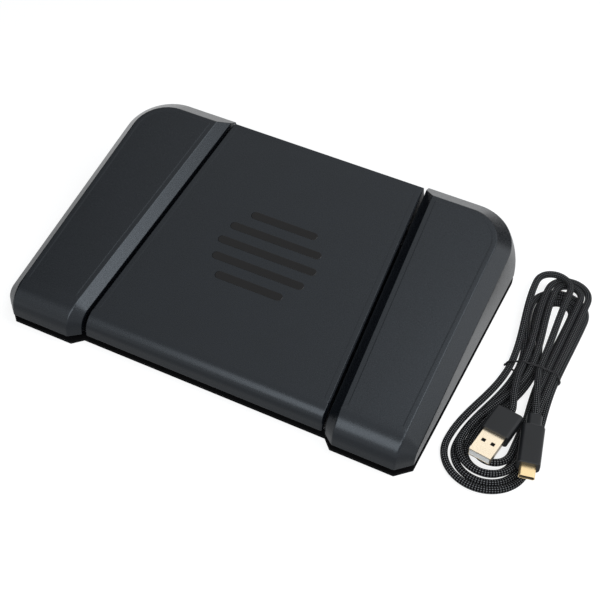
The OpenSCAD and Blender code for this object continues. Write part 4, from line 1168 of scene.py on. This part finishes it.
# %% Circuit board finish
board_laminate, tree, shader = new_finish("board_laminate", (0.01, 0.09, 0.04), 0.35)
place = node(tree, "ShaderNodeTexCoord")
tracks = node(tree, "ShaderNodeTexBrick", values={
    "Color1": (0.008, 0.075, 0.032, 1), "Color2": (0.012, 0.1, 0.045, 1), "Mortar": (0.03, 0.2, 0.09, 1),
    "Scale": 120.0, "Mortar Size": 0.03, "Brick Width": 1.4, "Row Height": 0.35})
tree.links.new(place.outputs["Object"], tracks.inputs["Vector"])
tree.links.new(tracks.outputs["Color"], shader.inputs["Base Color"])
spread(tree, noise(tree, scale=500.0), low=0.28, high=0.42, target=shader.inputs["Roughness"])
bump(tree, tracks.outputs["Fac"], shader, strength=0.3, depth_mm=0.03)
print("board finish made")

# %% [markdown]
# The cable's sleeve is a braid: two sets of strands wind round it in opposite directions and pass over and
# under each other. Modelled strands would need far too many faces. In the UV map a strand's number is the
# whole part of along x k + around x n for one set, and of along x k - around x n for the other. Where the
# two numbers add up to an even one, the first set lies on top. That set is a grey yarn, and its crossings
# show as rows of fine flecks. Their light grey is partly the yarn's own colour and partly a painted
# highlight that stands for the yarns' glints.

# %% Braid finish
STRANDS, BRAID_STRETCH = 11, 1.25
STRAND_PITCH = np.pi * CABLE_D / STRANDS * BRAID_STRETCH * MM
# The grey yarn colour is partly the flecks' own grey and partly a painted highlight for the yarns' glints
BLACK_YARN, GREY_YARN_AND_GLINT = (0.002, 0.002, 0.0022), (0.17, 0.174, 0.18)


def combine(tree, operation, first, second=0.0):
    """A Math node on two sockets or numbers."""
    made = node(tree, "ShaderNodeMath", {"operation": operation})
    for place, value in zip(made.inputs, (first, second)):
        if isinstance(value, (int, float)):
            place.default_value = value
        else:
            tree.links.new(value, place)
    return made.outputs[0]


def strand_round(tree, number):
    """Height across a strand: the size of sin(pi x number), 0 between strands and 1 on top of one."""
    return combine(tree, "ABSOLUTE", combine(tree, "SINE", combine(tree, "MULTIPLY", number, np.pi)))


cable_braid, tree, shader = new_finish("cable_braid", BLACK_YARN, 0.5, gloss=0.03)
sleeve = node(tree, "ShaderNodeUVMap", {"uv_map": "braid"})
split = node(tree, "ShaderNodeSeparateXYZ")
tree.links.new(sleeve.outputs["UV"], split.inputs["Vector"])
along = combine(tree, "MULTIPLY", split.outputs["X"], 1 / STRAND_PITCH)
about = combine(tree, "MULTIPLY", split.outputs["Y"], STRANDS)
one = combine(tree, "ADD", along, about)
other = combine(tree, "SUBTRACT", along, about)
numbers = combine(tree, "ADD", combine(tree, "FLOOR", one), combine(tree, "FLOOR", other))
other_on_top = combine(tree, "FLOORED_MODULO", numbers, 2.0)
one_round, other_round = strand_round(tree, one), strand_round(tree, other)
# A Mix node has its own sockets for each kind of data: 2 and 3 are its floats, 6 and 7 its colours
weave = node(tree, "ShaderNodeMix", {"data_type": "FLOAT"})
tree.links.new(other_on_top, weave.inputs[0])
tree.links.new(one_round, weave.inputs[2])
tree.links.new(other_round, weave.inputs[3])
grey_on_top = combine(tree, "SUBTRACT", 1.0, other_on_top)
# Flecks where the grey set lies on top: grey yarn with a painted highlight
fleck_and_glint = combine(tree, "MULTIPLY", grey_on_top, combine(tree, "MULTIPLY", one_round, other_round))
yarn = ramp(tree, fleck_and_glint, low=0.15, high=0.85, colours=(BLACK_YARN, GREY_YARN_AND_GLINT))
tree.links.new(yarn, shader.inputs["Base Color"])
bump(tree, weave.outputs[0], shader, strength=0.8, depth_mm=0.25)
print("braid of", STRANDS, "strands each way, pitch", round(STRAND_PITCH / MM, 2), "mm")

# %% [markdown]
# Now each piece gets its finish. The pieces made above have no material slot yet. The CAD nodes that stay
# have one, and it is filled anew, so that no plain CAD colour is left.

# %% Dress every piece
finishes = [(cover, pedal_plastic) for cover in covers]
finishes = finishes + [(coil_pair, spring_steel) for coil_pair in springs]
finishes = finishes + [
    (tread_bars, mark_gloss),
    (braided_cable, cable_braid),
    (waist_tie, tie_plastic),
    (a_grip, plug_plastic),
    (c_grip, plug_plastic),
]
kept_nodes = {
    "rubber_pad": pad_rubber, "base_plate": plate_steel, "base_tray": tray_plastic,
    "base_screws": screw_steel, "stop_bumpers": pad_rubber, "circuit_board": board_laminate,
    "board_screws": pin_steel, "controller_chip": chip_epoxy, "board_parts": board_metal,
    "usb_socket": socket_steel, "usb_socket_tongue": chip_epoxy, "usb_a_shell": plug_gold,
    "usb_a_insulator": insulator_plastic, "usb_c_shell": tip_gold, "usb_c_tongue": chip_epoxy,
}
for side in ("left", "centre", "right"):
    kept_nodes["hinge_pin_" + side] = pin_steel
    kept_nodes["switch_housing_" + side] = switch_plastic
    kept_nodes["switch_stem_" + side] = stem_plastic
finishes = finishes + [(bpy.data.objects[name], finish) for name, finish in kept_nodes.items()]
for made, finish in finishes:
    dress(made, finish)
print("dressed", len(finishes), "pieces,", len(kept_nodes), "of them CAD nodes")

# %% [markdown]
# The photograph was taken on a white sweep. A strong lamp on a white floor would also flood the dark
# plastic, so the floor and the sky glow for the camera, reflections and transmission only, and the floor
# still takes a faint shadow. In reflections the floor's glow is dimmer close to the object, a painted
# shadow, which gives the walls that mirror it their dark tone.

# %% Floor
STAGE_REACH, STAGE_DROP, FLOOR_GREY, FLOOR_GLOW = 4.0, 0.0001, 0.3, 0.8
# How far from the middle the mirrored floor starts and stops getting brighter, and how bright it is there:
# a painted shadow near the object, seen only in reflections
SHADE_FROM, SHADE_TO, SHADE_NEAR, SHADE_FAR = 0.17, 0.26, 0.5, 1.3


def seen_rays(tree, reflected=1.0):
    """1 for rays from the camera and through glass, and the given level for reflections."""
    rays = node(tree, "ShaderNodeLightPath")
    glossy = combine(tree, "MULTIPLY", rays.outputs["Is Glossy Ray"], reflected)
    seen = combine(tree, "MAXIMUM", rays.outputs["Is Camera Ray"], glossy)
    return combine(tree, "MAXIMUM", seen, rays.outputs["Is Transmission Ray"])


floor_mesh = bpy.data.meshes.new("studio_floor")
ways = np.array([[-1, -1], [1, -1], [1, 1], [-1, 1]])
corners = np.column_stack([ways * STAGE_REACH, np.full(4, -STAGE_DROP)])
floor_mesh.from_pydata(corners.tolist(), [], [(0, 1, 2, 3)])
studio_floor = bpy.data.objects.new("studio_floor", floor_mesh)
bpy.context.scene.collection.objects.link(studio_floor)

floor_white = bpy.data.materials.new("floor_white")
floor_white.use_nodes = True
tree = floor_white.node_tree
tree.nodes.remove(tree.nodes["Principled BSDF"])
matte = node(tree, "ShaderNodeBsdfDiffuse", values={"Color": (FLOOR_GREY, FLOOR_GREY, FLOOR_GREY, 1)})
glow = node(tree, "ShaderNodeEmission", values={"Color": (1, 1, 1, 1)})
place = node(tree, "ShaderNodeTexCoord")
distance = node(tree, "ShaderNodeVectorMath", {"operation": "LENGTH"})
tree.links.new(place.outputs["Object"], distance.inputs[0])
# Painted shadow: the mirrored floor glows less near the object
shade_ends = {"From Min": SHADE_FROM, "From Max": SHADE_TO, "To Min": SHADE_NEAR, "To Max": SHADE_FAR}
shade = node(tree, "ShaderNodeMapRange", values=shade_ends)
tree.links.new(distance.outputs["Value"], shade.inputs["Value"])
seen = seen_rays(tree, shade.outputs["Result"])
tree.links.new(combine(tree, "MULTIPLY", seen, FLOOR_GLOW), glow.inputs["Strength"])
both = node(tree, "ShaderNodeAddShader")
tree.links.new(matte.outputs["BSDF"], both.inputs[0])
tree.links.new(glow.outputs["Emission"], both.inputs[1])
tree.links.new(both.outputs["Shader"], tree.nodes["Material Output"].inputs["Surface"])
dress(studio_floor, floor_white)
print("floor of", 2 * STAGE_REACH, "m")

# %% [markdown]
# The sky lights the object with a dim grey, and is white for the camera and in reflections. A studio
# picture wrapped round the scene could do both, but two colours and a test of the ray are enough.

# %% Sky
SKY_LIGHT, SKY_WHITE = (0.07, 0.072, 0.074, 1), (1, 1, 1, 1)
sky = bpy.data.worlds.new("studio_sky")
sky.use_nodes = True
bpy.context.scene.world = sky
tree = sky.node_tree
# Sockets 6 and 7 of the Mix node take its colours, and output 2 gives the mixed one
white = node(tree, "ShaderNodeMix", {"data_type": "RGBA"}, {6: SKY_LIGHT, 7: SKY_WHITE})
tree.links.new(seen_rays(tree), white.inputs[0])
tree.links.new(white.outputs[2], tree.nodes["Background"].inputs["Color"])
print("sky made")

# %% [markdown]
# Five soft boxes light the pedals. One sun would leave the dark plastic without form: it is the mirrored
# boxes that draw it. The large one overhead lights the tops, the one at the right the side bevels, the
# low one the right wall and the far corner, and the two in front the bends and the bevel beside the left
# gap.

# %% Soft boxes
LAMP_COLOUR = (0.94, 0.97, 1.0)


def soft_box(name, place, aim, width, height, power):
    """A rectangular lamp at a place in metres, turned so that it shines at its aim."""
    lamp = bpy.data.lights.new(name, "AREA")
    lamp.shape = "RECTANGLE"
    lamp.size, lamp.size_y, lamp.energy = width, height, power
    lamp.color = LAMP_COLOUR
    back = np.array(place) - np.array(aim)
    back = back / np.linalg.norm(back)
    side = np.cross([0.0, 0.0, 1.0], back)
    side = side / np.linalg.norm(side)
    stand = np.eye(4)
    stand[:3, 0], stand[:3, 1], stand[:3, 2], stand[:3, 3] = side, np.cross(back, side), back, place
    box = bpy.data.objects.new(name, lamp)
    box.matrix_world = stand.T.tolist()
    box.visible_camera = False
    bpy.context.scene.collection.objects.link(box)
    return box


# Each box: its place and its aim, its width and height, and its power in watts
lamps = [
    soft_box("over_box", (0.52, 0.25, 1.25), (0.0, 0.0, 0.03), 0.8, 1.0, 8.5),
    soft_box("right_box", (0.98, 0.12, 0.82), (-0.06, 0.0, 0.04), 0.5, 0.4, 3.0),
    soft_box("low_box", (1.2, 0.64, 0.24), (0.11, 0.0, 0.04), 0.7, 0.3, 0.6),
    soft_box("front_box", (-0.02, -1.05, 0.73), (0.03, -0.05, 0.02), 0.74, 0.8, 7.4),
    soft_box("key_box", (0.54, -0.72, 0.92), (-0.05, -0.05, 0.02), 0.5, 0.5, 4.5),
]
print("lamps:", [lamp.name for lamp in lamps])

# %% [markdown]
# A white sky all round would put a light edge on everything. Two black cards, which only reflections see,
# stand where the studio was dark: they turn the bevel beside the right gap and the round far corner
# almost black.

# %% Dark cards
card_black = bpy.data.materials.new("card_black")
card_black.use_nodes = True
card_shader = card_black.node_tree.nodes["Principled BSDF"]
card_shader.inputs["Base Color"].default_value = (0.002, 0.002, 0.002, 1)
card_shader.inputs["Specular IOR Level"].default_value = 0.0


def dark_card(name, first, second):
    """An upright black card from a lower corner to the upper one across from it, seen in reflections."""
    (x0, y0, z0), (x1, y1, z1) = first, second
    card_mesh = bpy.data.meshes.new(name)
    card_mesh.from_pydata([(x0, y0, z0), (x1, y1, z0), (x1, y1, z1), (x0, y0, z1)], [], [(0, 1, 2, 3)])
    card = bpy.data.objects.new(name, card_mesh)
    bpy.context.scene.collection.objects.link(card)
    card.visible_camera = False
    card.visible_diffuse = False
    card.visible_shadow = False
    dress(card, card_black)
    return card


cards = [
    dark_card("left_card", (-1.0, -0.8, 0.0), (-1.0, 1.5, 1.5)),
    dark_card("far_card", (0.08, 0.7, 0.0), (0.66, 0.7, 0.24)),
]
print("dark cards:", len(cards))

# %% [markdown]
# The Standard view shows colours as they are written.

# %% Settle the view
bpy.context.scene.view_settings.view_transform = "Standard"
